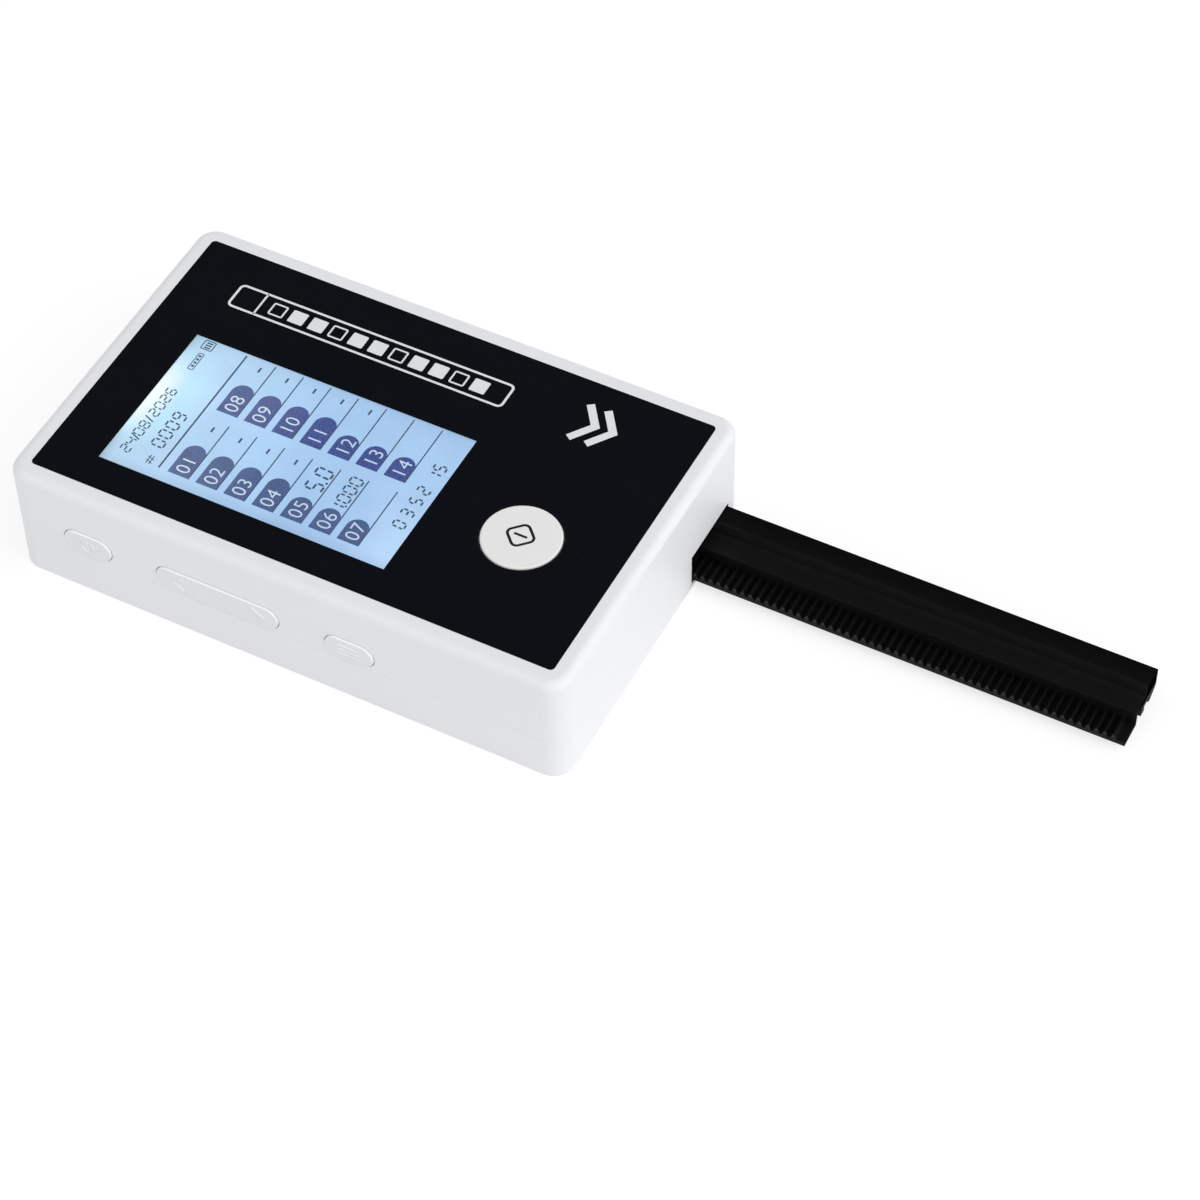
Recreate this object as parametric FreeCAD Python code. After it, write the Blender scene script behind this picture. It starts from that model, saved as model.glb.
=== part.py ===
import FreeCAD, Part

import math
import os

from FreeCAD import Vector

# Pocket urine analyzer: a flat two-shell housing with a glossy front panel, a
# segment display, a round start key and three side keys, and a strip tray that
# a motor drives out of one end through a rack.
# Frame: +X towards the end the tray comes out of, +Y away from the side keys,
# +Z up.  Origin: centre of the flat base.  Millimetres.

# ---------------------------------------------------------------- housing
case_length = 126.0
case_width = 78.4
case_height = 28.0
corner_radius = 4.5
top_edge_radius = 2.0
wall = 2.0
floor_thickness = 1.6
top_wall = 1.6
parting_height = 10.5
parting_chamfer = 0.04
lip_height = 1.2
lip_thickness = 0.9
lip_gap = 0.1

boss_radius = 2.5
boss_inset_end = 5.8
boss_inset_side = 3.5
boss_split = 8.5
boss_gap = 0.15
case_screw_radius = 1.0
case_screw_head_radius = 1.9
case_screw_head_height = 1.5
case_screw_recess = 2.2
case_screw_bite = 9.0

screw_hole_gap = 0.15
screw_end_room = 0.5
screw_slot_reach = 0.7
screw_slot_half_width = 0.14
screw_slot_depth = 0.45

# How far ribs reach into what carries them, how far cutters run past a face, and
# the least straight run left between two rounded corners.
weld = 0.5
past = 1.0
least_flat = 0.01

# ---------------------------------------------------------------- front panel
panel_border = 3.9
panel_thickness = 1.0
panel_corner_radius = 1.0
window_length = 65.8
window_width = 38.2
window_end_inset = 15.0
window_side_inset = 11.5

# ---------------------------------------------------------------- display
glass_end_margin = 2.6
glass_side_margin = 3.65
glass_thickness = 1.2
glass_ledge = 2.6
glass_opening_gap = 0.5
window_air_gap = 0.1
frame_rim = 1.5
frame_floor = 1.0
frame_fit = 0.1
light_box_front_gap = 3.1
light_box_end_gap = 0.5
contact_strip_width = 2.0
contact_strip_end_gap = 4.5
peg_radius = 0.9
peg_inset = 2.4
peg_drop = 2.2

# ---------------------------------------------------------------- main board
board_thickness = 1.6
board_boss_gap = 0.7
board_key_gap = 3.9
board_tray_gap = 2.8
post_radius = 2.3
post_end_inset = 3.5
post_tray_inset = 4.4
post_key_inset = 3.3
post_frame_gap = 5.0
post_hole_radius = 0.85
board_screw_head_radius = 1.8
board_screw_head_height = 1.2
board_screw_bite = 4.0

socket_y = 19.0
socket_width = 7.5
socket_height = 2.6
socket_depth = 5.6
socket_shell = 0.35
socket_bevel = 0.9
socket_tongue_thickness = 0.7
socket_tongue_width = 4.1
socket_tongue_setback = 1.0
socket_port_gap = 0.5
socket_setback = 0.3
board_tab_side = 2.5
board_tab_gap = 0.6

processor_side = 10.0
processor_height = 1.2
processor_gap = 0.5
driver_length = 6.2
driver_width = 5.0
driver_height = 1.5
driver_gap = 4.5
driver_setback = 5.4
buzzer_x = -30.0
buzzer_radius = 4.5
buzzer_height = 3.4
buzzer_mouth_radius = 1.0
buzzer_mouth_depth = 1.0

# ---------------------------------------------------------------- battery
battery_length = 50.0
battery_width = 34.0
battery_height = 8.0
battery_corner_radius = 2.0
battery_edge_radius = 1.0
battery_end_gap = 3.0
battery_side_gap = 4.7
battery_pad_thickness = 0.5
battery_pad_inset = 3.0
battery_rib_gap = 0.3
battery_rib_thickness = 1.0
battery_rib_height = 4.0
battery_long_rib = 16.0
battery_short_rib = 8.0
lead_radius = 0.5
lead_bend_radius = 5.0
lead_run = 3.0
lead_spacing = 2.4
lead_height = 4.2
lead_plug_length = 5.0
lead_plug_width = 8.0
lead_plug_height = 4.0

# ---------------------------------------------------------------- start key
button_window_gap = 11.73
button_side_shift = 0.4
button_radius = 8.3
button_gap = 0.3
button_proud = 0.1
button_edge_radius = 0.4
button_skin = 1.6
button_flange = 0.75
button_flange_thickness = 1.2
button_flange_gap = 0.3
button_boss_radius = 2.5
button_travel = 0.5
start_switch_side = 6.2
start_switch_height = 3.6
start_plunger_radius = 1.75
start_plunger_proud = 1.0
start_plunger_sunk = 0.6
plunger_bore_gap = 0.2
plunger_bore_spare = 0.2

# ---------------------------------------------------------------- side keys
key_drop = 3.2
key_height = 6.0
key_proud = 0.4
key_gap = 0.15
key_edge_radius = 0.38
key_pitch = 30.2
rocker_step = 0.6
small_key_length = 11.1
rocker_length = 28.3
key_flange = 0.8
key_flange_gap = 0.15
key_flange_thickness = 1.0
key_stem_radius = 1.6
key_travel = 0.5
side_switch_width = 6.0
side_switch_depth = 3.5
side_switch_height = 5.5
side_switch_reveal = 0.3
side_plunger_radius = 1.25
side_plunger_proud = 0.8
side_plunger_sunk = 0.7

rocker_pivot_inset = 1.8
rocker_hub_radius = 1.7
rocker_hub_end = 0.2
rocker_nub_arm = 10.0
rocker_pin_radius = 0.9
rocker_pin_length = 1.2
rocker_pin_gap = 0.05
rocker_end_gap = 0.3
rocker_ear_half_width = 1.9
rocker_ear_depth = 3.5
rocker_ear_thickness = 1.6

# ---------------------------------------------------------------- strip tray
tray_inset = 14.45
tray_width = 15.9
tray_bottom = 2.2
tray_top = 8.9
tray_rear_room = 6.3
tray_held = 23.7
tray_end_proud = 0.3
tray_edge_chamfer = 0.25
tray_foot_chamfer_width = 2.6
tray_foot_chamfer_height = 1.75
strip_groove_width = 5.1
strip_groove_drop = 2.55
strip_groove_slope = 0.15
front_lip_width = 0.4
front_lip_height = 0.25
rail_groove_offset = 0.75
rail_groove_width = 2.4
rail_groove_depth = 3.0
relief_offset = 4.8
relief_width = 2.4
relief_depth = 1.4
stop_web = 4.0
stop_gap = 0.3

rack_width = 5.2
rack_base = 0.9
rack_module = 0.57
pressure_angle = 20.0
rack_backlash = 0.06

mouth_gap = 0.4
mouth_bottom = 1.0
runner_gap = 0.1
runner_width = 1.5
runner_inset = 1.2
rail_gap = 0.3

reference_length = 5.0
reference_width = 4.6
reference_depth = 0.5
reference_inset = 1.6

# ---------------------------------------------------------------- tray guide
guide_gap = 0.3
guide_top_gap = 0.35
guide_front_wall = 1.4
guide_back_wall = 1.2
guide_plate = 1.2
guide_rear_room = 6.7
guide_end_gap = 0.5
guide_ear_count = 3
guide_ear_rear_inset = 8.3
guide_ear_pinion_gap = 25.0
guide_ear_reach = 4.9
guide_ear_radius = 2.3
guide_ear_thickness = 1.6
guide_pad_height = 4.0
guide_pad_radius = 2.2
guide_screw_radius = 0.85
guide_screw_head_radius = 1.7
guide_screw_head_height = 1.2
guide_screw_bite = 3.4
guide_rib_length = 8.0
guide_rib_thickness = 1.0
guide_rib_height = 3.0

# ---------------------------------------------------------------- gear train
pinion_teeth = 16
pinion_width = 3.0
pinion_side_gap = 0.4
pinion_hub_radius = 2.0
pinion_setback = 16.0
train_module = 0.4
train_backlash = 0.06
wheel_teeth = 28
wheel_width = 2.4
motor_gear_teeth = 14
motor_angle = 176.0
root_clearance = 0.25
shaft_radius = 1.0
shaft_running_gap = 0.03
bush_radius = 2.0
bush_proud = 0.2
hub_gap = 0.2
hub_radius = 2.0
wheel_gap = 0.3
gear_pocket = 4.5
gear_plate_thickness = 1.2
gear_wall_gap = 2.2
gear_wall_margin = 3.0
standoff_radius = 2.0
standoff_places = ((-16.5, 4.6), (7.8, 4.4), (-16.5, -3.8))
plate_margin = 2.2
plate_corner_radius = 1.7
plate_screw_radius = 0.8
plate_screw_head_radius = 1.4
plate_screw_head_height = 1.0
plate_screw_bite = 4.2
window_spare = 1.0

motor_radius = 6.0
motor_length = 11.0
motor_edge_radius = 0.6
motor_nose_radius = 2.0
motor_shaft_radius = 0.75
motor_shaft_gap = 0.05
motor_shaft_tail = 0.6
motor_screw_offset = 4.3
motor_screw_radius = 0.8
motor_screw_head_radius = 1.2
motor_screw_head_height = 0.4
motor_screw_bite = 2.2
motor_gear_hub_radius = 1.6
terminal_length = 6.0
terminal_width = 3.0
terminal_seat = 1.0

# ---------------------------------------------------------------- optical head
head_setback = 45.0
head_length = 17.0
head_width = 11.0
head_height = 4.2
head_ear_length = 3.6
head_ear_thickness = 1.5
head_screw_radius = 0.85
head_screw_head_radius = 1.5
head_screw_head_height = 1.0
head_window_length = 9.0
head_window_width = 6.0
head_glass_rim = 0.8
head_glass_thickness = 0.6
head_glass_gap = 0.05
eye_radius = 1.2
led_offset_x = 4.8
led_offset_y = 3.6
led_tilt_bore_radius = 0.9
led_length = 1.8
led_width = 1.4
led_height = 0.7
led_pocket_gap = 0.3
sensor_board_thickness = 0.8
sensor_board_inset = 0.5
connector_length = 6.0
connector_width = 3.0
connector_height = 1.95

# ---------------------------------------------------------------- derived places
end_x = case_length / 2
side_y = case_width / 2
inner_x = end_x - wall
inner_y = side_y - wall
panel_seat = case_height - panel_thickness
ceiling = panel_seat - top_wall
lip_top = parting_height + lip_height
boss_x = end_x - boss_inset_end
boss_y = side_y - boss_inset_side
boss_places = [(sx * boss_x, sy * boss_y) for sx in (-1, 1) for sy in (-1, 1)]

# The tray stays between the closed end and the mouth, along the side away from the keys.
tray_y = side_y - tray_inset
tray_front = tray_y - tray_width / 2
tray_back = tray_y + tray_width / 2
tray_length = case_length + tray_end_proud - wall - tray_rear_room
tray_out = tray_length - tray_held
tray_tip = end_x + tray_out
tray_rear = tray_tip - tray_length
rack_inner = tray_front + rack_width
rack_root_z = tray_bottom + rack_base
rack_dedendum = rack_module * (1 + root_clearance)
rack_pitch_z = rack_root_z + rack_dedendum
rack_crest_z = rack_pitch_z + rack_module
rack_pitch = math.pi * rack_module
rail_y = rack_inner + rail_groove_offset + rail_groove_width / 2
rail_groove_top = tray_bottom + rail_groove_depth
relief_front = rack_inner + relief_offset
foot_front = relief_front + relief_width
foot_back = tray_back - tray_foot_chamfer_width
stop_x = tray_rear + stop_web + stop_gap
strip_floor = tray_top - strip_groove_drop
strip_y = rack_inner + front_lip_width + strip_groove_width / 2

# The chassis over the tray, and the reading head on it, set the height of the board.
guide_front = tray_front - guide_gap - guide_front_wall
guide_back = tray_back + guide_gap + guide_back_wall
guide_roof = tray_top + guide_top_gap
guide_top = guide_roof + guide_plate
guide_rear = -inner_x + guide_rear_room
guide_end = inner_x - guide_end_gap
head_x = end_x - head_setback
head_y = strip_y
head_top = guide_top + head_height
sensor_board_top = head_top + sensor_board_thickness
board_bottom = sensor_board_top + connector_height
board_top = board_bottom + board_thickness
board_half_length = boss_x - boss_radius - board_boss_gap
board_key_edge = inner_y - board_key_gap
board_tray_edge = inner_y - board_tray_gap

# The start key lies a little above the display's middle line; the side keys follow the display.
display_x = -end_x + window_end_inset + window_length / 2
display_y = -side_y + window_side_inset + window_width / 2
glass_length = window_length + 2 * glass_end_margin
glass_width = window_width + 2 * glass_side_margin
frame_half_x = glass_length / 2 + frame_fit + frame_rim
frame_half_y = glass_width / 2 + frame_fit + frame_rim
contact_strip_length = glass_length - 2 * contact_strip_end_gap
button_x = display_x + window_length / 2 + button_window_gap + button_radius
button_y = display_y + button_side_shift
post_end_x = board_half_length - post_end_inset
post_tray_y = board_tray_edge - post_tray_inset
post_key_y = -board_key_edge + post_key_inset
post_middle_x = display_x + frame_half_x + post_frame_gap
post_places = ((-post_end_x, post_tray_y), (post_end_x, post_tray_y),
               (post_end_x, post_key_y), (post_middle_x, post_key_y))

key_z = board_bottom - key_drop
key_back = -inner_y + key_flange_gap
key_stem_end = -board_key_edge - side_switch_reveal - side_plunger_proud
switch_front = -board_key_edge - side_switch_reveal
rocker_x = display_x + rocker_step
power_key_x = rocker_x - key_pitch
menu_key_x = rocker_x + key_pitch
rocker_pivot_y = -inner_y + rocker_pivot_inset
rocker_switch_places = (rocker_x - rocker_nub_arm, rocker_x + rocker_nub_arm)

battery_x = -inner_x + battery_end_gap + battery_length / 2
battery_y = -inner_y + battery_side_gap + battery_width / 2
battery_base = floor_thickness + battery_pad_thickness
lead_plug_x = battery_x + battery_length / 2 + lead_run + lead_bend_radius

pinion_x = end_x - pinion_setback
pinion_radius = rack_module * pinion_teeth / 2
pinion_z = rack_pitch_z + pinion_radius
pinion_front = tray_front + pinion_side_gap
pinion_back = pinion_front + pinion_width
wheel_radius = train_module * wheel_teeth / 2
motor_gear_radius = train_module * motor_gear_teeth / 2
motor_x = pinion_x + (wheel_radius + motor_gear_radius) * math.cos(math.radians(motor_angle))
motor_z = pinion_z + (wheel_radius + motor_gear_radius) * math.sin(math.radians(motor_angle))
plate_inner = guide_front - gear_pocket
plate_outer = plate_inner - gear_plate_thickness
inner_bush_front = guide_front - bush_proud
inner_bush_back = guide_front + guide_front_wall + bush_proud
wheel_back = inner_bush_front - wheel_gap
wheel_front = wheel_back - wheel_width
gear_wall_rear = pinion_x + standoff_places[0][0] - gear_wall_margin
gear_wall_front = pinion_x + standoff_places[1][0] + gear_wall_margin
gear_wall_top = board_bottom - gear_wall_gap

guide_ear_y = guide_front - guide_ear_reach + guide_ear_radius
guide_pad_top = floor_thickness + guide_pad_height
guide_ear_first = guide_rear + guide_ear_rear_inset
guide_ear_last = pinion_x - guide_ear_pinion_gap
guide_ear_step = (guide_ear_last - guide_ear_first) / (guide_ear_count - 1)
guide_ear_places = [guide_ear_first + index * guide_ear_step for index in range(guide_ear_count)]


# ---------------------------------------------------------------- shape helpers
def block(x_span, y_span, z_span):
    """Box between three pairs of coordinates."""
    low = Vector(x_span[0], y_span[0], z_span[0])
    return Part.makeBox(x_span[1] - x_span[0], y_span[1] - y_span[0], z_span[1] - z_span[0], low)


def spread(centre, half):
    """Low and high coordinate about a centre."""
    return (centre - half, centre + half)


def upright(radius, x, y, z_span):
    """Cylinder along Z."""
    return Part.makeCylinder(radius, z_span[1] - z_span[0], Vector(x, y, z_span[0]), Vector(0, 0, 1))


def crosswise(radius, x, z, y_span):
    """Cylinder along Y."""
    return Part.makeCylinder(radius, y_span[1] - y_span[0], Vector(x, y_span[0], z), Vector(0, 1, 0))


def rounded_outline(length, width, radius, z):
    """Closed wire of a rectangle with round corners, centred on the origin."""
    x = length / 2
    y = width / 2
    r = min(radius, x - least_flat, y - least_flat)
    k = r * (1 - math.sqrt(0.5))
    edges = []
    corners = ((x, y, 1, 1), (-x, y, -1, 1), (-x, -y, -1, -1), (x, -y, 1, -1))
    starts = []
    ends = []
    for index, (cx, cy, sx, sy) in enumerate(corners):
        along = Vector(cx, cy - sy * r, z)
        across = Vector(cx - sx * r, cy, z)
        first, last = (along, across) if index % 2 == 0 else (across, along)
        starts.append(first)
        ends.append(last)
        edges.append(Part.Arc(first, Vector(cx - sx * k, cy - sy * k, z), last).toShape())
    for index in range(4):
        edges.append(Part.makeLine(ends[index], starts[(index + 1) % 4]))
    return Part.Wire(Part.__sortEdges__(edges))


def rounded_block(length, width, radius, z_span, centre=(0.0, 0.0)):
    """Upright prism with round vertical corners."""
    face = Part.Face(rounded_outline(length, width, radius, z_span[0]))
    solid = face.extrude(Vector(0, 0, z_span[1] - z_span[0]))
    solid.translate(Vector(centre[0], centre[1], 0))
    return solid


def edges_at(solid, z):
    """Edges that lie wholly at one height."""
    return [e for e in solid.Edges if abs(e.BoundBox.ZMin - z) < 1e-6 and abs(e.BoundBox.ZMax - z) < 1e-6]


def key_slug(x, length, height, y_span):
    """Obround bar along Y, standing at the height of the side keys."""
    r = height / 2
    half = length / 2 - r
    y = y_span[0]
    low_left = Vector(x - half, y, key_z - r)
    low_right = Vector(x + half, y, key_z - r)
    high_right = Vector(x + half, y, key_z + r)
    high_left = Vector(x - half, y, key_z + r)
    wire = Part.Wire([
        Part.makeLine(low_left, low_right),
        Part.Arc(low_right, Vector(x + half + r, y, key_z), high_right).toShape(),
        Part.makeLine(high_right, high_left),
        Part.Arc(high_left, Vector(x - half - r, y, key_z), low_left).toShape(),
    ])
    return Part.Face(wire).extrude(Vector(0, y_span[1] - y_span[0], 0))


def prism_along_x(points, x_span):
    """Extrude a closed (y, z) outline along X."""
    vectors = [Vector(x_span[0], y, z) for y, z in points]
    face = Part.Face(Part.makePolygon(vectors + vectors[:1]))
    return face.extrude(Vector(x_span[1] - x_span[0], 0, 0))


def prism_along_y(points, y_span):
    """Extrude a closed (x, z) outline along Y."""
    vectors = [Vector(x, y_span[0], z) for x, z in points]
    face = Part.Face(Part.makePolygon(vectors + vectors[:1]))
    return face.extrude(Vector(0, y_span[1] - y_span[0], 0))


def ring_of_revolution(profile, x, y):
    """Turn a closed (radius, z) outline about a vertical line."""
    vectors = [Vector(x + radius, y, z) for radius, z in profile]
    face = Part.Face(Part.makePolygon(vectors + vectors[:1]))
    return face.revolve(Vector(x, y, 0), Vector(0, 0, 1), 360)


def fused(shapes):
    """Union of several solids with the seams between flush faces removed."""
    return shapes[0].multiFuse(shapes[1:]).removeSplitter()


def spur_gear(teeth, module, backlash, centre, y_span, tooth_angle):
    """Involute spur gear with its axis along Y and a tooth pointing at tooth_angle degrees."""
    pitch = module * teeth / 2
    base = pitch * math.cos(math.radians(pressure_angle))
    tip = pitch + module
    root = pitch - module * (1 + root_clearance)

    def involute(radius):
        return math.tan(math.acos(base / radius)) - math.acos(base / radius)

    def half_angle(radius):
        at_pitch = math.pi / (2 * teeth) - backlash / (2 * pitch)
        return at_pitch + involute(pitch) - involute(max(radius, base))

    def spot(radius, angle):
        return Vector(centre[0] + radius * math.cos(angle), y_span[0], centre[1] + radius * math.sin(angle))

    flank_start = max(base, root)
    middle = (flank_start + tip) / 2
    edges = []
    step = 2 * math.pi / teeth
    for index in range(teeth):
        axis = math.radians(tooth_angle) + index * step
        rise = [spot(r, axis - half_angle(r)) for r in (root, flank_start, middle, tip)]
        fall = [spot(r, axis + half_angle(r)) for r in (tip, middle, flank_start, root)]
        if base > root:
            edges.append(Part.makeLine(rise[0], rise[1]))
        edges.append(Part.Arc(rise[1], rise[2], rise[3]).toShape())
        edges.append(Part.makeLine(rise[3], fall[0]))
        edges.append(Part.Arc(fall[0], fall[1], fall[2]).toShape())
        if base > root:
            edges.append(Part.makeLine(fall[2], fall[3]))
        edges.append(Part.makeLine(fall[3], spot(root, axis + step - half_angle(root))))
    return Part.Face(Part.Wire(edges)).extrude(Vector(0, y_span[1] - y_span[0], 0))


def screw_up(x, y, z_seat, radius, bite, head_radius, head_height):
    """Pan-head screw driven upwards: head below z_seat, shank above it."""
    shank = upright(radius, x, y, (z_seat, z_seat + bite))
    head = upright(head_radius, x, y, (z_seat - head_height, z_seat))
    slot = block(spread(x, head_radius * screw_slot_reach), spread(y, head_radius * screw_slot_half_width),
                 (z_seat - head_height, z_seat - head_height * (1 - screw_slot_depth)))
    return head.fuse(shank).cut(slot)


def screw_down(x, y, z_seat, radius, bite, head_radius, head_height):
    """Pan-head screw driven downwards: head above z_seat, shank below it."""
    shank = upright(radius, x, y, (z_seat - bite, z_seat))
    head = upright(head_radius, x, y, (z_seat, z_seat + head_height))
    slot = block(spread(x, head_radius * screw_slot_reach), spread(y, head_radius * screw_slot_half_width),
                 (z_seat + head_height * (1 - screw_slot_depth), z_seat + head_height))
    return head.fuse(shank).cut(slot)


# ---------------------------------------------------------------- housing shells
def key_openings():
    """Cutters for the three obround key holes in the long wall."""
    through = (-side_y - past, -inner_y + past)
    height = key_height + 2 * key_gap
    return [key_slug(x, length + 2 * key_gap, height, through) for x, length in key_plan()]


def key_plan():
    """Centre and length of each side key, from the closed end to the tray end."""
    return ((power_key_x, small_key_length), (rocker_x, rocker_length), (menu_key_x, small_key_length))


def socket_span():
    """Height span of the socket on the board."""
    return (board_top, board_top + socket_height)


def top_shell():
    """Upper case half: filleted tub, upside down, with bosses, posts and openings."""
    body = rounded_block(case_length, case_width, corner_radius, (parting_height, case_height))
    body = body.makeFillet(top_edge_radius, edges_at(body, case_height))
    body = body.makeChamfer(parting_chamfer, edges_at(body, parting_height))
    below = parting_height - past
    cavity = rounded_block(2 * inner_x, 2 * inner_y, corner_radius - wall, (below, ceiling))
    step = 2 * (wall - lip_thickness - lip_gap)
    rebate = rounded_block(case_length - step, case_width - step, corner_radius - step / 2,
                           (below, lip_top + lip_gap))
    recess = rounded_block(case_length - 2 * panel_border, case_width - 2 * panel_border,
                           panel_corner_radius, (panel_seat, case_height + past))
    body = body.cut(cavity).cut(rebate).cut(recess)

    free = lip_top + 2 * lip_gap
    slack = rounded_block(2 * (inner_x - boss_gap), 2 * (inner_y - boss_gap),
                          corner_radius - wall, (boss_split, free))
    adds = []
    for x, y in boss_places:
        adds.append(upright(boss_radius, x, y, (free, panel_seat)))
        adds.append(upright(boss_radius, x, y, (boss_split, free)).common(slack))
    for x, y in post_places:
        adds.append(upright(post_radius, x, y, (board_top, panel_seat)))
    ear_low = key_z + key_height / 2 + rocker_end_gap + rocker_hub_end
    ear_reach = (-inner_y - weld, -inner_y + rocker_ear_depth)
    adds.append(block(spread(rocker_x, rocker_ear_half_width), ear_reach,
                      (ear_low, ear_low + rocker_ear_thickness)))
    body = body.multiFuse(adds).removeSplitter()

    body = body.cut(Part.makeCompound(key_openings()))
    cuts = []
    for x, y in boss_places:
        cuts.append(upright(case_screw_radius, x, y,
                            (boss_split - past, boss_split + case_screw_bite + screw_end_room)))
    for x, y in post_places:
        cuts.append(upright(post_hole_radius, x, y,
                            (board_top - past, board_top + board_screw_bite + screw_end_room)))
    cuts.append(upright(rocker_pin_radius + rocker_pin_gap, rocker_x, rocker_pivot_y,
                        (ear_low - past, ear_low + rocker_pin_length)))
    through = (ceiling - past, panel_seat + past)
    cuts.append(upright(button_radius + button_gap, button_x, button_y, through))
    cuts.append(block(spread(display_x, glass_length / 2 + glass_opening_gap),
                      spread(display_y, glass_width / 2 + glass_opening_gap), through))
    port_z = socket_span()
    cuts.append(block((-end_x - past, -inner_x + past), spread(socket_y, socket_width / 2 + socket_port_gap),
                      (port_z[0] - socket_port_gap, port_z[1] + socket_port_gap)))
    return body.cut(Part.makeCompound(cuts))


def battery_ribs():
    """Four low ribs on the floor that pen the battery in."""
    half_x = battery_length / 2 + battery_rib_gap
    half_y = battery_width / 2 + battery_rib_gap
    z_span = (floor_thickness - weld, floor_thickness + battery_rib_height)
    corner_y = battery_y - half_y
    ribs = []
    half_rib = battery_rib_thickness / 2
    for side in (-1, 1):
        y = battery_y + side * (half_y + half_rib)
        ribs.append(block(spread(battery_x, battery_long_rib / 2), spread(y, half_rib), z_span))
        x = battery_x + side * (half_x + half_rib)
        ribs.append(block(spread(x, half_rib), (corner_y, corner_y + battery_short_rib), z_span))
    return ribs


def bottom_shell():
    """Lower case half: tub with a lip, screw bosses, tray mouth, runners and ribs."""
    body = rounded_block(case_length, case_width, corner_radius, (0, parting_height))
    body = body.makeChamfer(parting_chamfer, edges_at(body, parting_height))
    body = body.cut(rounded_block(2 * inner_x, 2 * inner_y, corner_radius - wall,
                                  (floor_thickness, parting_height + past)))
    root = parting_height - weld
    step = 2 * (wall - lip_thickness)
    lip = rounded_block(case_length - step, case_width - step, corner_radius - step / 2, (root, lip_top))
    lip = lip.cut(rounded_block(2 * inner_x, 2 * inner_y, corner_radius - wall,
                                (root - past, lip_top + past)))
    for x, length in key_plan():
        notch = length / 2 + key_gap + key_flange
        lip = lip.cut(block(spread(x, notch), (-side_y, -inner_y + past), (parting_height, lip_top + past)))

    adds = [lip] + battery_ribs()
    for x, y in boss_places:
        adds.append(upright(boss_radius, x, y, (floor_thickness - weld, boss_split)))
    sunk = floor_thickness - weld
    runner_top = tray_bottom - runner_gap
    front_runner = (tray_front + runner_inset, tray_front + runner_inset + runner_width)
    for across in (front_runner, (foot_front, foot_back)):
        adds.append(block((guide_rear, guide_end), across, (sunk, runner_top)))
    adds.append(block((stop_x, guide_end), spread(rail_y, rail_groove_width / 2 - rail_gap),
                      (sunk, rail_groove_top - mouth_gap)))
    for x in guide_ear_places:
        adds.append(upright(guide_pad_radius, x, guide_ear_y, (sunk, guide_pad_top)))
        adds.append(block(spread(x, guide_rib_length / 2), (guide_back, guide_back + guide_rib_thickness),
                          (sunk, floor_thickness + guide_rib_height)))
    post_top = key_z - key_height / 2 - rocker_end_gap - rocker_hub_end
    ear_reach = (-inner_y - weld, -inner_y + rocker_ear_depth)
    adds.append(block(spread(rocker_x, rocker_ear_half_width), ear_reach,
                      (sunk, min(post_top, parting_height))))
    adds.append(block(spread(rocker_x, rocker_ear_half_width), (-inner_y, -inner_y + rocker_ear_depth),
                      (sunk, post_top)))
    body = body.multiFuse(adds).removeSplitter()

    body = body.cut(Part.makeCompound(key_openings()))
    cuts = []
    for x, y in boss_places:
        cuts.append(upright(case_screw_radius + screw_hole_gap, x, y, (-past, boss_split + past)))
        cuts.append(upright(case_screw_head_radius + screw_hole_gap, x, y, (-past, case_screw_recess)))
    for x in guide_ear_places:
        cuts.append(upright(guide_screw_radius, x, guide_ear_y, (floor_thickness, guide_pad_top + past)))
    cuts.append(upright(rocker_pin_radius + rocker_pin_gap, rocker_x, rocker_pivot_y,
                        (post_top - rocker_pin_length, post_top + past)))
    cuts.append(block((guide_end, end_x + past), spread(tray_y, tray_width / 2 + mouth_gap),
                      (mouth_bottom, tray_top + mouth_gap)))
    return body.cut(Part.makeCompound(cuts))


def case_screws():
    """Four screws that pull the two shells together from below."""
    bite = boss_split - case_screw_recess + case_screw_bite
    return [screw_up(x, y, case_screw_recess, case_screw_radius, bite,
                     case_screw_head_radius, case_screw_head_height) for x, y in boss_places]


# ---------------------------------------------------------------- front panel and display
def face_panel():
    """Thin glossy panel glued into the recess, open over the display and the start key."""
    panel = rounded_block(case_length - 2 * panel_border, case_width - 2 * panel_border,
                          panel_corner_radius, (panel_seat, case_height))
    window = block(spread(display_x, window_length / 2), spread(display_y, window_width / 2),
                   (panel_seat - past, case_height + past))
    hole = upright(button_radius + button_gap, button_x, button_y, (panel_seat - past, case_height + past))
    return panel.cut(window).cut(hole)


def display_window():
    """Clear insert that fills the panel's display opening."""
    return block(spread(display_x, window_length / 2), spread(display_y, window_width / 2),
                 (panel_seat, case_height))


def glass_base():
    """Height of the underside of the display cell."""
    return panel_seat - window_air_gap - 2 * glass_thickness


def lcd_glass():
    """Display cell: two glass plates, the lower one with a bare contact ledge."""
    z = glass_base()
    lower = block(spread(display_x, glass_length / 2), spread(display_y, glass_width / 2),
                  (z, z + glass_thickness))
    edge = display_y - glass_width / 2
    upper = block(spread(display_x, glass_length / 2), (edge + glass_ledge, edge + glass_width),
                  (z + glass_thickness, z + 2 * glass_thickness))
    return fused([lower, upper])


def lcd_backlight():
    """Light guide under the cell."""
    back = display_y + glass_width / 2
    front = display_y - glass_width / 2 + light_box_front_gap
    return block(spread(display_x, glass_length / 2 - light_box_end_gap), (front, back),
                 (board_top + frame_floor, glass_base()))


def contact_strip():
    """Rubber contact strip from the board's pads to the cell's ledge."""
    front = display_y - glass_width / 2 + frame_fit
    return block(spread(display_x, contact_strip_length / 2), (front, front + contact_strip_width),
                 (board_top, glass_base()))


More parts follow.
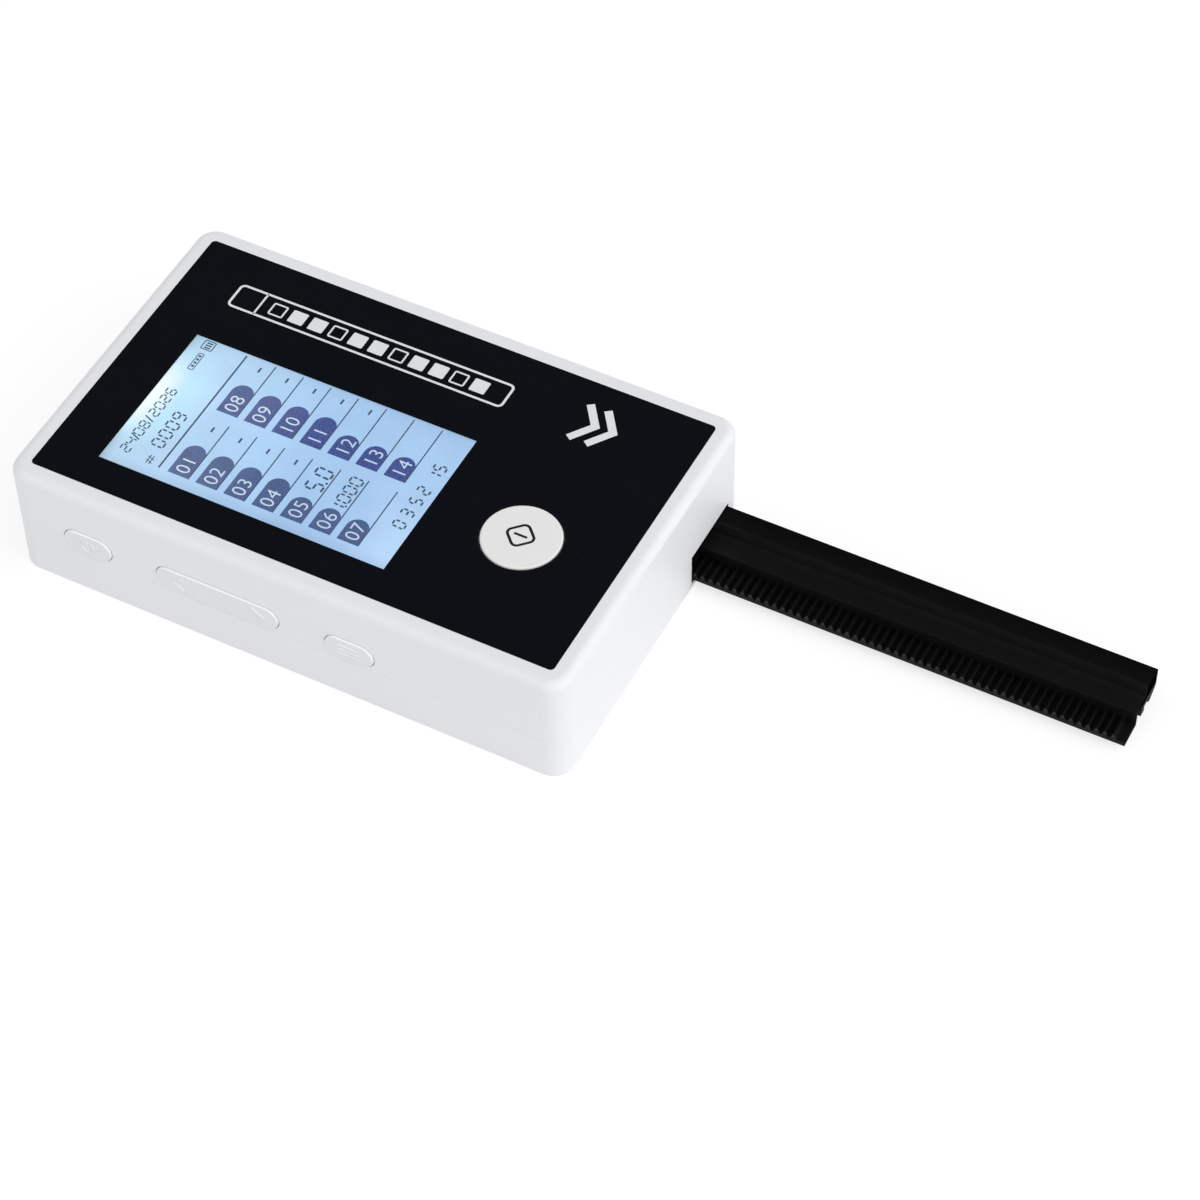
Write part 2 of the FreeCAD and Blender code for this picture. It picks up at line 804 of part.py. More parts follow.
def peg_places():
    """Corners of the display frame where its pegs go through the board."""
    half_x = frame_half_x - peg_inset
    half_y = frame_half_y - peg_inset
    return [(display_x + sx * half_x, display_y + sy * half_y) for sx in (-1, 1) for sy in (-1, 1)]


def lcd_frame():
    """Moulded tray on the board that holds light guide, contact strip and cell."""
    body = block(spread(display_x, frame_half_x), spread(display_y, frame_half_y), (board_top, ceiling))
    well = block(spread(display_x, frame_half_x - frame_rim), spread(display_y, frame_half_y - frame_rim),
                 (board_top + frame_floor, ceiling + past))
    front = display_y - glass_width / 2 + frame_fit
    slot = block(spread(display_x, contact_strip_length / 2), (front, front + contact_strip_width),
                 (board_top - past, ceiling))
    pegs = [upright(peg_radius, x, y, (board_top - peg_drop, board_top + weld)) for x, y in peg_places()]
    return body.cut(well).cut(slot).multiFuse(pegs).removeSplitter()


# ---------------------------------------------------------------- main board and what it carries
def main_board():
    """Circuit board, screwed to the posts of the upper shell, with a tab for the socket."""
    sheet = block((-board_half_length, board_half_length), (-board_key_edge, board_tray_edge),
                  (board_bottom, board_top))
    half_tab = socket_width / 2 + board_tab_side
    tab = block((-inner_x + board_tab_gap, -board_half_length + weld), spread(socket_y, half_tab),
                (board_bottom, board_top))
    through = (board_bottom - past, board_top + past)
    holes = [upright(post_hole_radius + screw_hole_gap, x, y, through) for x, y in post_places]
    holes += [upright(peg_radius, x, y, through) for x, y in peg_places()]
    return fused([sheet, tab]).cut(Part.makeCompound(holes))


def board_screws():
    """Screws that hold the board up against the posts."""
    bite = board_thickness + board_screw_bite
    return [screw_up(x, y, board_bottom, post_hole_radius, bite, board_screw_head_radius,
                     board_screw_head_height) for x, y in post_places]


def usb_socket():
    """Folded metal charging socket with its contact tongue."""
    low, high = socket_span()
    mouth_x = -inner_x + socket_setback

    def outline(inset):
        half = socket_width / 2 - inset
        near = half - socket_bevel
        base = low + inset
        return [(socket_y - half, high - inset), (socket_y + half, high - inset),
                (socket_y + half, base + socket_bevel), (socket_y + near, base),
                (socket_y - near, base), (socket_y - half, base + socket_bevel)]

    body = prism_along_x(outline(0), (mouth_x, mouth_x + socket_depth))
    hollow = prism_along_x(outline(socket_shell), (mouth_x - past, mouth_x + socket_depth - socket_shell))
    middle = (low + high) / 2
    tongue = block((mouth_x + socket_tongue_setback, mouth_x + socket_depth),
                   spread(socket_y, socket_tongue_width / 2), spread(middle, socket_tongue_thickness / 2))
    return body.cut(hollow).fuse(tongue).removeSplitter()


def processor():
    """Main controller chip under the board."""
    x = lead_plug_x + lead_plug_length / 2 + processor_gap
    return block((x, x + processor_side), spread(battery_y, processor_side / 2),
                 (board_bottom - processor_height, board_bottom))


def motor_driver():
    """Driver chip under the board, beside the motor."""
    x = motor_x - terminal_length / 2 - driver_gap
    return block((x - driver_length, x), spread(plate_outer - driver_setback, driver_width / 2),
                 (board_bottom - driver_height, board_bottom))


def buzzer():
    """Round sounder under the board, its mouth facing down."""
    low = board_bottom - buzzer_height
    can = upright(buzzer_radius, buzzer_x, tray_y, (low, board_bottom))
    return can.cut(upright(buzzer_mouth_radius, buzzer_x, tray_y, (low - past, low + buzzer_mouth_depth)))


# ---------------------------------------------------------------- battery
def battery():
    """Flat rechargeable pack with rounded edges, on its adhesive pad."""
    top = battery_base + battery_height
    pack = rounded_block(battery_length, battery_width, battery_corner_radius, (battery_base, top),
                         (battery_x, battery_y))
    return pack.makeFillet(battery_edge_radius, edges_at(pack, battery_base) + edges_at(pack, top))


def battery_pad():
    """Double-sided foam pad between battery and floor."""
    half_x = battery_length / 2 - battery_pad_inset
    half_y = battery_width / 2 - battery_pad_inset
    return block(spread(battery_x, half_x), spread(battery_y, half_y), (floor_thickness, battery_base))


def battery_connector():
    """Connector under the board that takes the battery leads."""
    return block(spread(lead_plug_x, lead_plug_length / 2), spread(battery_y, lead_plug_width / 2),
                 (board_bottom - lead_plug_height, board_bottom))


def battery_leads():
    """Two insulated wires: straight out of the pack, one bend, straight up into the connector."""
    start_x = battery_x + battery_length / 2
    bend_x = start_x + lead_run
    low = battery_base + lead_height
    high = board_bottom - lead_plug_height
    k = lead_bend_radius * math.sqrt(0.5)
    leads = []
    for side in (-1, 1):
        y = battery_y + side * lead_spacing / 2
        top_of_bend = Vector(bend_x + lead_bend_radius, y, low + lead_bend_radius)
        route = Part.Wire([
            Part.makeLine(Vector(start_x, y, low), Vector(bend_x, y, low)),
            Part.Arc(Vector(bend_x, y, low),
                     Vector(bend_x + k, y, low + lead_bend_radius - k), top_of_bend).toShape(),
            Part.makeLine(top_of_bend, Vector(bend_x + lead_bend_radius, y, high)),
        ])
        section = Part.Wire(Part.makeCircle(lead_radius, Vector(start_x, y, low), Vector(1, 0, 0)))
        leads.append(route.makePipeShell([section], True, False))
    return leads


# ---------------------------------------------------------------- start key
def start_plunger_top():
    """Where the key's inner boss meets the switch plunger."""
    return board_top + start_switch_height + start_plunger_proud


def start_button():
    """Round cap with a thin skin, a retaining flange and a boss over its switch."""
    top = case_height + button_proud
    flange_top = ceiling - button_flange_gap
    flange_low = flange_top - button_flange_thickness
    r = button_radius
    e = button_edge_radius
    k = e * (1 - math.sqrt(0.5))
    inner = r - button_skin
    under = top - button_skin
    boss_low = start_plunger_top()
    profile = [(0, boss_low), (button_boss_radius, boss_low), (button_boss_radius, under), (inner, under),
               (inner, flange_low), (r + button_flange, flange_low), (r + button_flange, flange_top),
               (r, flange_top), (r, top - e), (r - k, top - k), (r - e, top), (0, top)]
    return ring_of_revolution(profile, button_x, button_y)


def start_switch():
    """Square tact switch on the board, with a bore for its plunger."""
    half = start_switch_side / 2
    top = board_top + start_switch_height
    deep = start_plunger_sunk + button_travel + plunger_bore_spare
    body = block(spread(button_x, half), spread(button_y, half), (board_top, top))
    bore = upright(start_plunger_radius + plunger_bore_gap, button_x, button_y, (top - deep, top + past))
    return body.cut(bore)


def start_switch_plunger():
    """Round plunger, always against the key's boss."""
    top = start_plunger_top()
    return upright(start_plunger_radius, button_x, button_y,
                   (top - start_plunger_proud - start_plunger_sunk, top))


# ---------------------------------------------------------------- side keys
def softened(slug):
    """Round the outer rim of a key cap."""
    face_y = slug.BoundBox.YMin
    rim = [e for e in slug.Edges if abs(e.BoundBox.YMax - face_y) < 1e-6]
    return slug.makeFillet(key_edge_radius, rim)


def small_key(x):
    """Push key: cap in the wall, flange behind it and a stem to the switch."""
    cap = softened(key_slug(x, small_key_length, key_height, (-side_y - key_proud, key_back + weld)))
    flange = key_slug(x, small_key_length + 2 * key_flange, key_height + 2 * key_flange,
                      (key_back, key_back + key_flange_thickness))
    stem = crosswise(key_stem_radius, x, key_z, (key_back, key_stem_end))
    return fused([cap, flange, stem])


def rocker_key():
    """Two-way key: long cap on a vertical hub with stub pins, a nub behind each end."""
    cap = softened(key_slug(rocker_x, rocker_length, key_height, (-side_y - key_proud, key_back)))
    half_hub = key_height / 2 + rocker_hub_end
    hub = upright(rocker_hub_radius, rocker_x, rocker_pivot_y, spread(key_z, half_hub))
    neck = block(spread(rocker_x, rocker_hub_radius), (key_back - weld, rocker_pivot_y),
                 spread(key_z, key_height / 2))
    pin_half = half_hub + rocker_end_gap / 2 + rocker_pin_length
    pin = upright(rocker_pin_radius, rocker_x, rocker_pivot_y, spread(key_z, pin_half))
    nub_span = (key_back - weld, key_stem_end)
    nubs = [crosswise(key_stem_radius, x, key_z, nub_span) for x in rocker_switch_places]
    return fused([cap, hub, neck, pin] + nubs)


def side_switch(x):
    """Right-angle tact switch hanging under the board's edge."""
    body = block(spread(x, side_switch_width / 2), (switch_front, switch_front + side_switch_depth),
                 (board_bottom - side_switch_height, board_bottom))
    deep = side_plunger_sunk + key_travel + plunger_bore_spare
    bore = crosswise(side_plunger_radius + plunger_bore_gap, x, key_z,
                     (switch_front - past, switch_front + deep))
    return body.cut(bore)


def side_plunger(x):
    """Switch plunger, always against the key's stem."""
    return crosswise(side_plunger_radius, x, key_z, (key_stem_end, switch_front + side_plunger_sunk))


# ---------------------------------------------------------------- strip tray
def rack_bar():
    """Toothed ledge along the tray's front side, teeth up, straight flanks."""
    lean = math.tan(math.radians(pressure_angle))
    half_pitch_line = rack_pitch / 4 - rack_backlash / 2
    half_crest = half_pitch_line - rack_module * lean
    half_root = half_pitch_line + rack_dedendum * lean
    count = int(tray_length / rack_pitch)
    first = tray_rear + rack_pitch / 2
    points = [(tray_tip, tray_bottom), (tray_rear, tray_bottom), (tray_rear, rack_root_z)]
    for index in range(count):
        x = first + index * rack_pitch
        points += [(x - half_root, rack_root_z), (x - half_crest, rack_crest_z),
                   (x + half_crest, rack_crest_z), (x + half_root, rack_root_z)]
    points.append((tray_tip, rack_root_z))
    return prism_along_y(points, (tray_front, rack_inner + rail_groove_offset / 2))


def pinion_tooth_angle():
    """Angle of a pinion tooth so that it stands in a gap of the rack at rest."""
    first_gap = tray_rear + rack_pitch
    steps = round((pinion_x - first_gap) / rack_pitch)
    offset = first_gap + steps * rack_pitch - pinion_x
    return -90.0 + math.degrees(offset / pinion_radius)


def strip_tray():
    """Moulded slide: rack ledge, strip channel behind a low lip, high back ridge, rail groove below."""
    c = tray_edge_chamfer
    near = rack_inner + front_lip_width
    far = near + strip_groove_width
    front_top = strip_floor + front_lip_height
    relief_top = tray_bottom + relief_depth
    outline = [(rack_inner, tray_bottom), (relief_front, tray_bottom), (relief_front, relief_top),
               (foot_front, relief_top), (foot_front, tray_bottom), (foot_back, tray_bottom),
               (tray_back, tray_bottom + tray_foot_chamfer_height), (tray_back, tray_top - c),
               (tray_back - c, tray_top), (far, tray_top), (far - strip_groove_slope, strip_floor),
               (near, strip_floor), (near, front_top), (rack_inner, front_top)]
    bar = prism_along_x(outline, (tray_rear, tray_tip))
    groove = block((tray_rear + stop_web, tray_tip + past), spread(rail_y, rail_groove_width / 2),
                   (tray_bottom - past, rail_groove_top))
    pocket = block((tray_rear + reference_inset, tray_rear + reference_inset + reference_length),
                   spread(strip_y, reference_width / 2),
                   (strip_floor - reference_depth, strip_floor + past))
    return bar.fuse(rack_bar()).cut(groove).cut(pocket).removeSplitter()


def white_reference():
    """White calibration tile let into the groove floor at the tray's inner end."""
    return block((tray_rear + reference_inset, tray_rear + reference_inset + reference_length),
                 spread(strip_y, reference_width / 2), (strip_floor - reference_depth, strip_floor))


# ---------------------------------------------------------------- tray guide
def tray_guide():
    """Chassis over the tray: two side walls, a roof, screw ears and the gear wall."""
    front_inner = guide_front + guide_front_wall
    back_inner = guide_back - guide_back_wall
    along = (guide_rear, guide_end)
    front_wall = (guide_front, front_inner)
    walls = [
        block(along, front_wall, (floor_thickness, guide_top)),
        block(along, (back_inner, guide_back), (floor_thickness, guide_top)),
        block(along, (guide_front, guide_back), (guide_roof, guide_top)),
        block((gear_wall_rear, gear_wall_front), front_wall, (floor_thickness, gear_wall_top)),
    ]
    for dx, dz in standoff_places:
        walls.append(crosswise(standoff_radius, pinion_x + dx, pinion_z + dz,
                               (plate_inner, guide_front + weld)))
    for x in guide_ear_places:
        z_span = (guide_pad_top, guide_pad_top + guide_ear_thickness)
        walls.append(upright(guide_ear_radius, x, guide_ear_y, z_span))
        walls.append(block(spread(x, guide_ear_radius), (guide_ear_y, guide_front + weld), z_span))
    body = fused(walls)

    half = pinion_radius + rack_module + window_spare
    through_roof = (guide_roof - past, guide_top + past)
    cuts = [
        block(spread(pinion_x, half), (front_inner, pinion_back + window_spare), through_roof),
        block(spread(head_x, head_window_length / 2), spread(head_y, head_window_width / 2), through_roof),
        block(spread(head_x, head_window_length / 2 + head_glass_rim),
              spread(head_y, head_window_width / 2 + head_glass_rim),
              (guide_top - head_glass_thickness, guide_top + past)),
        block((boss_x - boss_radius - guide_end_gap, end_x), (back_inner, side_y), (0, guide_top + past)),
        crosswise(bush_radius, pinion_x, pinion_z, (guide_front - past, front_inner + past)),
    ]
    screw_end = plate_outer + plate_screw_bite + screw_end_room
    for dx, dz in standoff_places:
        cuts.append(crosswise(plate_screw_radius, pinion_x + dx, pinion_z + dz,
                              (plate_inner - past, screw_end)))
    for x in guide_ear_places:
        cuts.append(upright(guide_screw_radius + screw_hole_gap, x, guide_ear_y,
                            (guide_pad_top - past, guide_pad_top + guide_ear_thickness + past)))
    for x in head_screw_places():
        cuts.append(upright(head_screw_radius, x, head_y, through_roof))
    return body.cut(Part.makeCompound(cuts))


def guide_screws():
    """Screws through the chassis ears into the pads of the lower shell."""
    seat = guide_pad_top + guide_ear_thickness
    bite = guide_ear_thickness + guide_screw_bite
    return [screw_down(x, guide_ear_y, seat, guide_screw_radius, bite, guide_screw_head_radius,
                       guide_screw_head_height) for x in guide_ear_places]


# ---------------------------------------------------------------- gear train
def drive_pinion():
    """Pinion that turns over the rack, with a short hub towards its bush."""
    gear = spur_gear(pinion_teeth, rack_module, rack_backlash, (pinion_x, pinion_z),
                     (pinion_front, pinion_back), pinion_tooth_angle())
    hub = crosswise(pinion_hub_radius, pinion_x, pinion_z, (inner_bush_back + hub_gap, pinion_front))
    return fused([gear, hub]).cut(shaft_bore())


def shaft_bore():
    """Cutter along the pinion shaft."""
    return crosswise(shaft_radius, pinion_x, pinion_z, (plate_outer - past, pinion_back + past))


def reduction_gear():
    """Larger gear on the pinion's shaft, driven by the motor gear."""
    gear = spur_gear(wheel_teeth, train_module, train_backlash, (pinion_x, pinion_z),
                     (wheel_front, wheel_back), motor_angle)
    hub_front = plate_inner + bush_proud + hub_gap
    hub = crosswise(hub_radius, pinion_x, pinion_z, (hub_front, wheel_front))
    return fused([gear, hub]).cut(shaft_bore())


def pinion_shaft():
    """Steel shaft through both bushes."""
    return crosswise(shaft_radius, pinion_x, pinion_z,
                     (plate_outer - bush_proud - hub_gap, pinion_back + hub_gap))


def shaft_bush(y_span):
    """Plain bearing ring."""
    ring = crosswise(bush_radius, pinion_x, pinion_z, y_span)
    through = (y_span[0] - past, y_span[1] + past)
    return ring.cut(crosswise(shaft_radius + shaft_running_gap, pinion_x, pinion_z, through))


def motor_screw_spots():
    """Heights of the two screws in the motor's face."""
    return (motor_z - motor_screw_offset, motor_z + motor_screw_offset)


def gear_plate():
    """Pressed plate that carries the motor and the shaft's outer bush."""
    xs = [pinion_x + dx for dx, dz in standoff_places]
    zs = [pinion_z + dz for dx, dz in standoff_places]
    low_x, high_x = min(xs) - plate_margin, max(xs) + plate_margin
    low_z, high_z = min(min(zs), motor_z - motor_screw_offset) - plate_margin, max(zs) + plate_margin
    outline = [(low_x, low_z), (high_x, low_z), (high_x, high_z), (low_x, high_z)]
    plate = prism_along_y(outline, (plate_outer, plate_inner))
    upright_edges = [e for e in plate.Edges if e.BoundBox.YLength > gear_plate_thickness / 2]
    plate = plate.makeFillet(plate_corner_radius, upright_edges)
    through = (plate_outer - past, plate_inner + past)
    cuts = [crosswise(bush_radius, pinion_x, pinion_z, through),
            crosswise(motor_nose_radius, motor_x, motor_z, through)]
    for z in motor_screw_spots():
        cuts.append(crosswise(motor_screw_radius + screw_hole_gap, motor_x, z, through))
    for dx, dz in standoff_places:
        cuts.append(crosswise(plate_screw_radius + screw_hole_gap, pinion_x + dx, pinion_z + dz, through))
    return plate.cut(Part.makeCompound(cuts))


def plate_screws():
    """Screws through the gear plate into the chassis standoffs."""
    screws = []
    for dx, dz in standoff_places:
        x = pinion_x + dx
        z = pinion_z + dz
        shank = crosswise(plate_screw_radius, x, z, (plate_outer, plate_outer + plate_screw_bite))
        head = crosswise(plate_screw_head_radius, x, z, (plate_outer - plate_screw_head_height, plate_outer))
        screws.append(head.fuse(shank))
    return screws


def motor_body():
    """Small stepper can with a nose, two tapped holes and a bore for its shaft."""
    back = plate_outer - motor_length
    can = crosswise(motor_radius, motor_x, motor_z, (back, plate_outer))
    rims = [e for e in can.Edges if e.BoundBox.YLength < 1e-6]
    can = can.makeFillet(motor_edge_radius, rims)
    nose = crosswise(motor_nose_radius, motor_x, motor_z, (plate_outer - weld, plate_inner))
    cuts = [crosswise(motor_shaft_radius + motor_shaft_gap, motor_x, motor_z,
                      (back - past, plate_inner + past))]
    screw_end = plate_outer - motor_screw_bite - screw_end_room
    for z in motor_screw_spots():
        cuts.append(crosswise(motor_screw_radius, motor_x, z, (screw_end, plate_outer + past)))
    return fused([can, nose]).cut(Part.makeCompound(cuts))


def motor_screws():
    """Low-head screws that hold the motor against the gear plate."""
    screws = []
    for z in motor_screw_spots():
        shank = crosswise(motor_screw_radius, motor_x, z, (plate_outer - motor_screw_bite, plate_inner))
        head = crosswise(motor_screw_head_radius, motor_x, z,
                         (plate_inner, plate_inner + motor_screw_head_height))
        screws.append(head.fuse(shank))
    return screws


def motor_shaft():
    """Rotor shaft, out of both ends of the can."""
    return crosswise(motor_shaft_radius, motor_x, motor_z,
                     (plate_outer - motor_length - motor_shaft_tail, wheel_back + hub_gap))


def motor_gear():
    """Small gear pressed on the motor shaft; a gap of it faces the reduction gear."""
    half_step = 180.0 / motor_gear_teeth
    gear = spur_gear(motor_gear_teeth, train_module, train_backlash, (motor_x, motor_z),
                     (wheel_front, wheel_back), motor_angle + 180.0 + half_step)
    hub = crosswise(motor_gear_hub_radius, motor_x, motor_z, (plate_inner + hub_gap, wheel_front))
    bore = crosswise(motor_shaft_radius, motor_x, motor_z, (plate_outer - past, wheel_back + past))
    return fused([gear, hub]).cut(bore)


def motor_terminal():
    """Plastic terminal block from the motor can up to the board."""
    y = plate_outer - motor_length + terminal_width
    body = block(spread(motor_x, terminal_length / 2), spread(y, terminal_width / 2),
                 (motor_z + motor_radius - terminal_seat, board_bottom))
    return body.cut(crosswise(motor_radius, motor_x, motor_z, (y - terminal_width, y + terminal_width)))


# ---------------------------------------------------------------- optical head
def head_screw_places():
    """X places of the two screws through the head's ears."""
    reach = head_length / 2 + head_ear_length / 2
    return (head_x - reach, head_x + reach)


def led_places():
    """The four lamps around the central eye."""
    return ((head_x - led_offset_x, head_y), (head_x + led_offset_x, head_y),
            (head_x, head_y - led_offset_y), (head_x, head_y + led_offset_y))


def optical_head():
    """Black block with one upright bore for the eye and four slanted bores for the lamps."""
    body = block(spread(head_x, head_length / 2), spread(head_y, head_width / 2), (guide_top, head_top))
    ears = block(spread(head_x, head_length / 2 + head_ear_length), spread(head_y, head_ear_length / 2),
                 (guide_top, guide_top + head_ear_thickness))
    through = (guide_top - past, head_top + past)
    cuts = [upright(eye_radius, head_x, head_y, through)]
    for x in head_screw_places():
        cuts.append(upright(head_screw_radius + screw_hole_gap, x, head_y, through))
    target = Vector(head_x, head_y, guide_top - head_glass_thickness)
    for x, y in led_places():
        pocket_x = led_length / 2 + led_pocket_gap
        pocket_y = led_width / 2 + led_pocket_gap
        deep = head_top - led_height - led_pocket_gap
        cuts.append(block(spread(x, pocket_x), spread(y, pocket_y), (deep, head_top + past)))
        start = Vector(x, y, deep + led_pocket_gap)
        beam = target - start
        cuts.append(Part.makeCylinder(led_tilt_bore_radius, beam.Length, start, beam))
    return fused([body, ears]).cut(Part.makeCompound(cuts))


def head_glass():
    """Clear cover glass let into the chassis roof under the head."""
    rim = head_glass_rim - head_glass_gap
    return block(spread(head_x, head_window_length / 2 + rim), spread(head_y, head_window_width / 2 + rim),
                 (guide_top - head_glass_thickness, guide_top))


def sensor_board():
    """Small board on top of the head."""
    inset = sensor_board_inset
    return block(spread(head_x, head_length / 2 - inset), spread(head_y, head_width / 2 - inset),
                 (head_top, sensor_board_top))


def head_lamps():
    """Four lamps under the sensor board."""
    return [block(spread(x, led_length / 2), spread(y, led_width / 2), (head_top - led_height, head_top))
            for x, y in led_places()]


def photodiode():
    """Eye of the head, in the top of the upright bore."""
    return upright(eye_radius - led_pocket_gap, head_x, head_y, (head_top - led_height, head_top))


def head_connector():
    """Board-to-board connector between sensor board and main board."""
    return block(spread(head_x, connector_length / 2), spread(head_y, connector_width / 2),
                 (sensor_board_top, board_bottom))


def head_screws():
    """Screws through the head's ears into the chassis roof."""
    seat = guide_top + head_ear_thickness
    return [screw_down(x, head_y, seat, head_screw_radius, head_ear_thickness + guide_plate,
                       head_screw_head_radius, head_screw_head_height) for x in head_screw_places()]


# ---------------------------------------------------------------- output
def pieces():
    """Every node of the product by name."""
    outer_bush_span = (plate_outer - bush_proud, plate_inner + bush_proud)
    return {
        "top_shell": top_shell(),
        "bottom_shell": bottom_shell(),
        "case_screws": case_screws(),
        "face_panel": face_panel(),
        "display_window": display_window(),
        "lcd_glass": lcd_glass(),
        "lcd_backlight": lcd_backlight(),
        "contact_strip": contact_strip(),
        "lcd_frame": lcd_frame(),
        "main_board": main_board(),
        "board_screws": board_screws(),
        "usb_socket": usb_socket(),
        "processor": processor(),
        "motor_driver": motor_driver(),
        "buzzer": buzzer(),
        "battery": battery(),
        "battery_pad": battery_pad(),
        "battery_connector": battery_connector(),
        "battery_leads": battery_leads(),
        "start_button": start_button(),
        "start_switch": start_switch(),
        "start_switch_plunger": start_switch_plunger(),
        "power_key": small_key(power_key_x),
        "power_switch": side_switch(power_key_x),
        "power_switch_plunger": side_plunger(power_key_x),
        "rocker_key": rocker_key(),
        "rocker_switch_rear": side_switch(rocker_switch_places[0]),
        "rocker_switch_front": side_switch(rocker_switch_places[1]),
        "rocker_switch_plungers": [side_plunger(x) for x in rocker_switch_places],
        "menu_key": small_key(menu_key_x),
        "menu_switch": side_switch(menu_key_x),
        "menu_switch_plunger": side_plunger(menu_key_x),
        "strip_tray": strip_tray(),
        "white_reference": white_reference(),
        "tray_guide": tray_guide(),
        "guide_screws": guide_screws(),
        "drive_pinion": drive_pinion(),
        "reduction_gear": reduction_gear(),
        "pinion_shaft": pinion_shaft(),
        "inner_bush": shaft_bush((inner_bush_front, inner_bush_back)),
        "outer_bush": shaft_bush(outer_bush_span),
        "gear_plate": gear_plate(),
        "plate_screws": plate_screws(),
        "motor_body": motor_body(),
        "motor_shaft": motor_shaft(),
        "motor_gear": motor_gear(),
        "motor_screws": motor_screws(),
        "motor_terminal": motor_terminal(),
        "optical_head": optical_head(),
        "head_glass": head_glass(),
        "sensor_board": sensor_board(),
        "head_lamps": head_lamps(),
        "photodiode": photodiode(),
        "head_connector": head_connector(),
        "head_screws": head_screws(),
    }


os.makedirs("parts", exist_ok=True)
for name, shape in pieces().items():
    solid = Part.makeCompound(shape) if isinstance(shape, list) else shape
    solid.exportStep(os.path.join("parts", name + ".step"))
    print(name, "solids", len(solid.Solids), "valid", solid.isValid(), "volume", round(solid.Volume, 2))
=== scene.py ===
"""Pocket test-strip reader: looks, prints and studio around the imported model. All lengths are in metres."""
import math

import bpy
import numpy as np
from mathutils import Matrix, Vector


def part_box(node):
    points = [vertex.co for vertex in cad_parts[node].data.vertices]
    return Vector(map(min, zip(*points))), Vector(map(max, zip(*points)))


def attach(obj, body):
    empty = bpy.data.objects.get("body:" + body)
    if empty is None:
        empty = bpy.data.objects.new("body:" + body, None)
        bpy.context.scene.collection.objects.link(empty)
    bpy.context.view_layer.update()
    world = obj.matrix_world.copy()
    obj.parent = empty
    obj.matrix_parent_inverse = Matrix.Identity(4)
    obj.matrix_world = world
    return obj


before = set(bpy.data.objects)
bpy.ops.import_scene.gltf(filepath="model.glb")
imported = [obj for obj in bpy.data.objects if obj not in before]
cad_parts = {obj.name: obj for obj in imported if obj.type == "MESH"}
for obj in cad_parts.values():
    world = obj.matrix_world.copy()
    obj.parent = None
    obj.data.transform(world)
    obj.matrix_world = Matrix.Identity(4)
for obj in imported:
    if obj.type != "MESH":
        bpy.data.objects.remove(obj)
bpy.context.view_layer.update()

mm = 0.001

# ---- Case shells ---------------------------------------------------------------------------------
# Two injection-moulded shells of white ABS with a fine spark-eroded skin, closed by four screws from
# below. The same skin, in other colours, is on the keys and on the inner mouldings.


def tint(red, green, blue):
    """A colour named on the 0 to 255 scale of a paint chart, as linear light with alpha 1."""
    share = np.array([red, green, blue]) / 255
    linear = np.where(share < 0.04045, share / 12.92, ((share + 0.055) / 1.055) ** 2.4)
    return (*linear.tolist(), 1.0)


def add(tree, kind, inputs=None, **settings):
    """One shader node. settings are its own options; an input is a plain value or another node's output."""
    made = tree.nodes.new("ShaderNode" + kind)
    for key, value in settings.items():
        setattr(made, key, value)
    for key, value in (inputs or {}).items():
        if isinstance(value, bpy.types.NodeSocket):
            tree.links.new(value, made.inputs[key])
        else:
            made.inputs[key].default_value = value
    return made


def effect(name, takes, gives):
    """An empty shader node group: takes maps an input to its default, gives maps an output to its kind."""
    tree = bpy.data.node_groups.new(name, "ShaderNodeTree")
    for label, value in takes.items():
        kind = "NodeSocketFloat" if isinstance(value, (int, float)) else "NodeSocketColor"
        tree.interface.new_socket(label, in_out="INPUT", socket_type=kind).default_value = value
    for label, kind in gives.items():
        tree.interface.new_socket(label, in_out="OUTPUT", socket_type="NodeSocket" + kind)
    entry = tree.nodes.new("NodeGroupInput").outputs
    leave = tree.nodes.new("NodeGroupOutput").inputs
    place = add(tree, "TexCoord").outputs["Object"]
    return tree, entry, leave, place


def maths(tree, operation, first, second, third=0.0):
    """The output of one Math node."""
    return add(tree, "Math", {0: first, 1: second, 2: third}, operation=operation).outputs[0]


def span(tree, value, low, high, to_low=0.0, to_high=1.0):
    """value taken smoothly from the span low..high to the span to_low..to_high."""
    bend = add(tree, "MapRange", {"Value": value, "From Min": low, "From Max": high,
                                  "To Min": to_low, "To Max": to_high}, interpolation_type="SMOOTHSTEP")
    return bend.outputs["Result"]


def blended(tree, share, first, second, how="MIX"):
    """The colour of one Mix node."""
    mix = add(tree, "Mix", {0: share, 6: first, 7: second}, data_type="RGBA", blend_type=how)
    return mix.outputs[2]


# Skin of a moulded piece: slow colour drift, fine grain, and smears from handling in the roughness.
skin, entry, leave, place = effect(
    "moulded_skin",
    {"Colour": (0.8, 0.8, 0.8, 1.0), "Drift": 0.03, "Grain": 3500.0, "Roughness": 0.4, "Smears": 0.1},
    {"Colour": "Color", "Roughness": "Float", "Height": "Float"})
drift = add(skin, "TexNoise", {"Vector": place, "Scale": 38.0, "Detail": 4.0, "Roughness": 0.55}).outputs[0]
grain = add(skin, "TexNoise", {"Vector": place, "Scale": entry["Grain"], "Detail": 2.0}).outputs[0]
smear = add(skin, "TexNoise", {"Vector": place, "Scale": 120.0, "Detail": 5.0,
                               "Distortion": 1.2}).outputs[0]
both = maths(skin, "ADD", drift, maths(skin, "MULTIPLY", grain, 0.5))
level = maths(skin, "MULTIPLY_ADD", maths(skin, "SUBTRACT", both, 0.75), entry["Drift"], 1.0)
shade = add(skin, "HueSaturation", {"Value": level, "Color": entry["Colour"]}).outputs[0]
skin.links.new(shade, leave["Colour"])
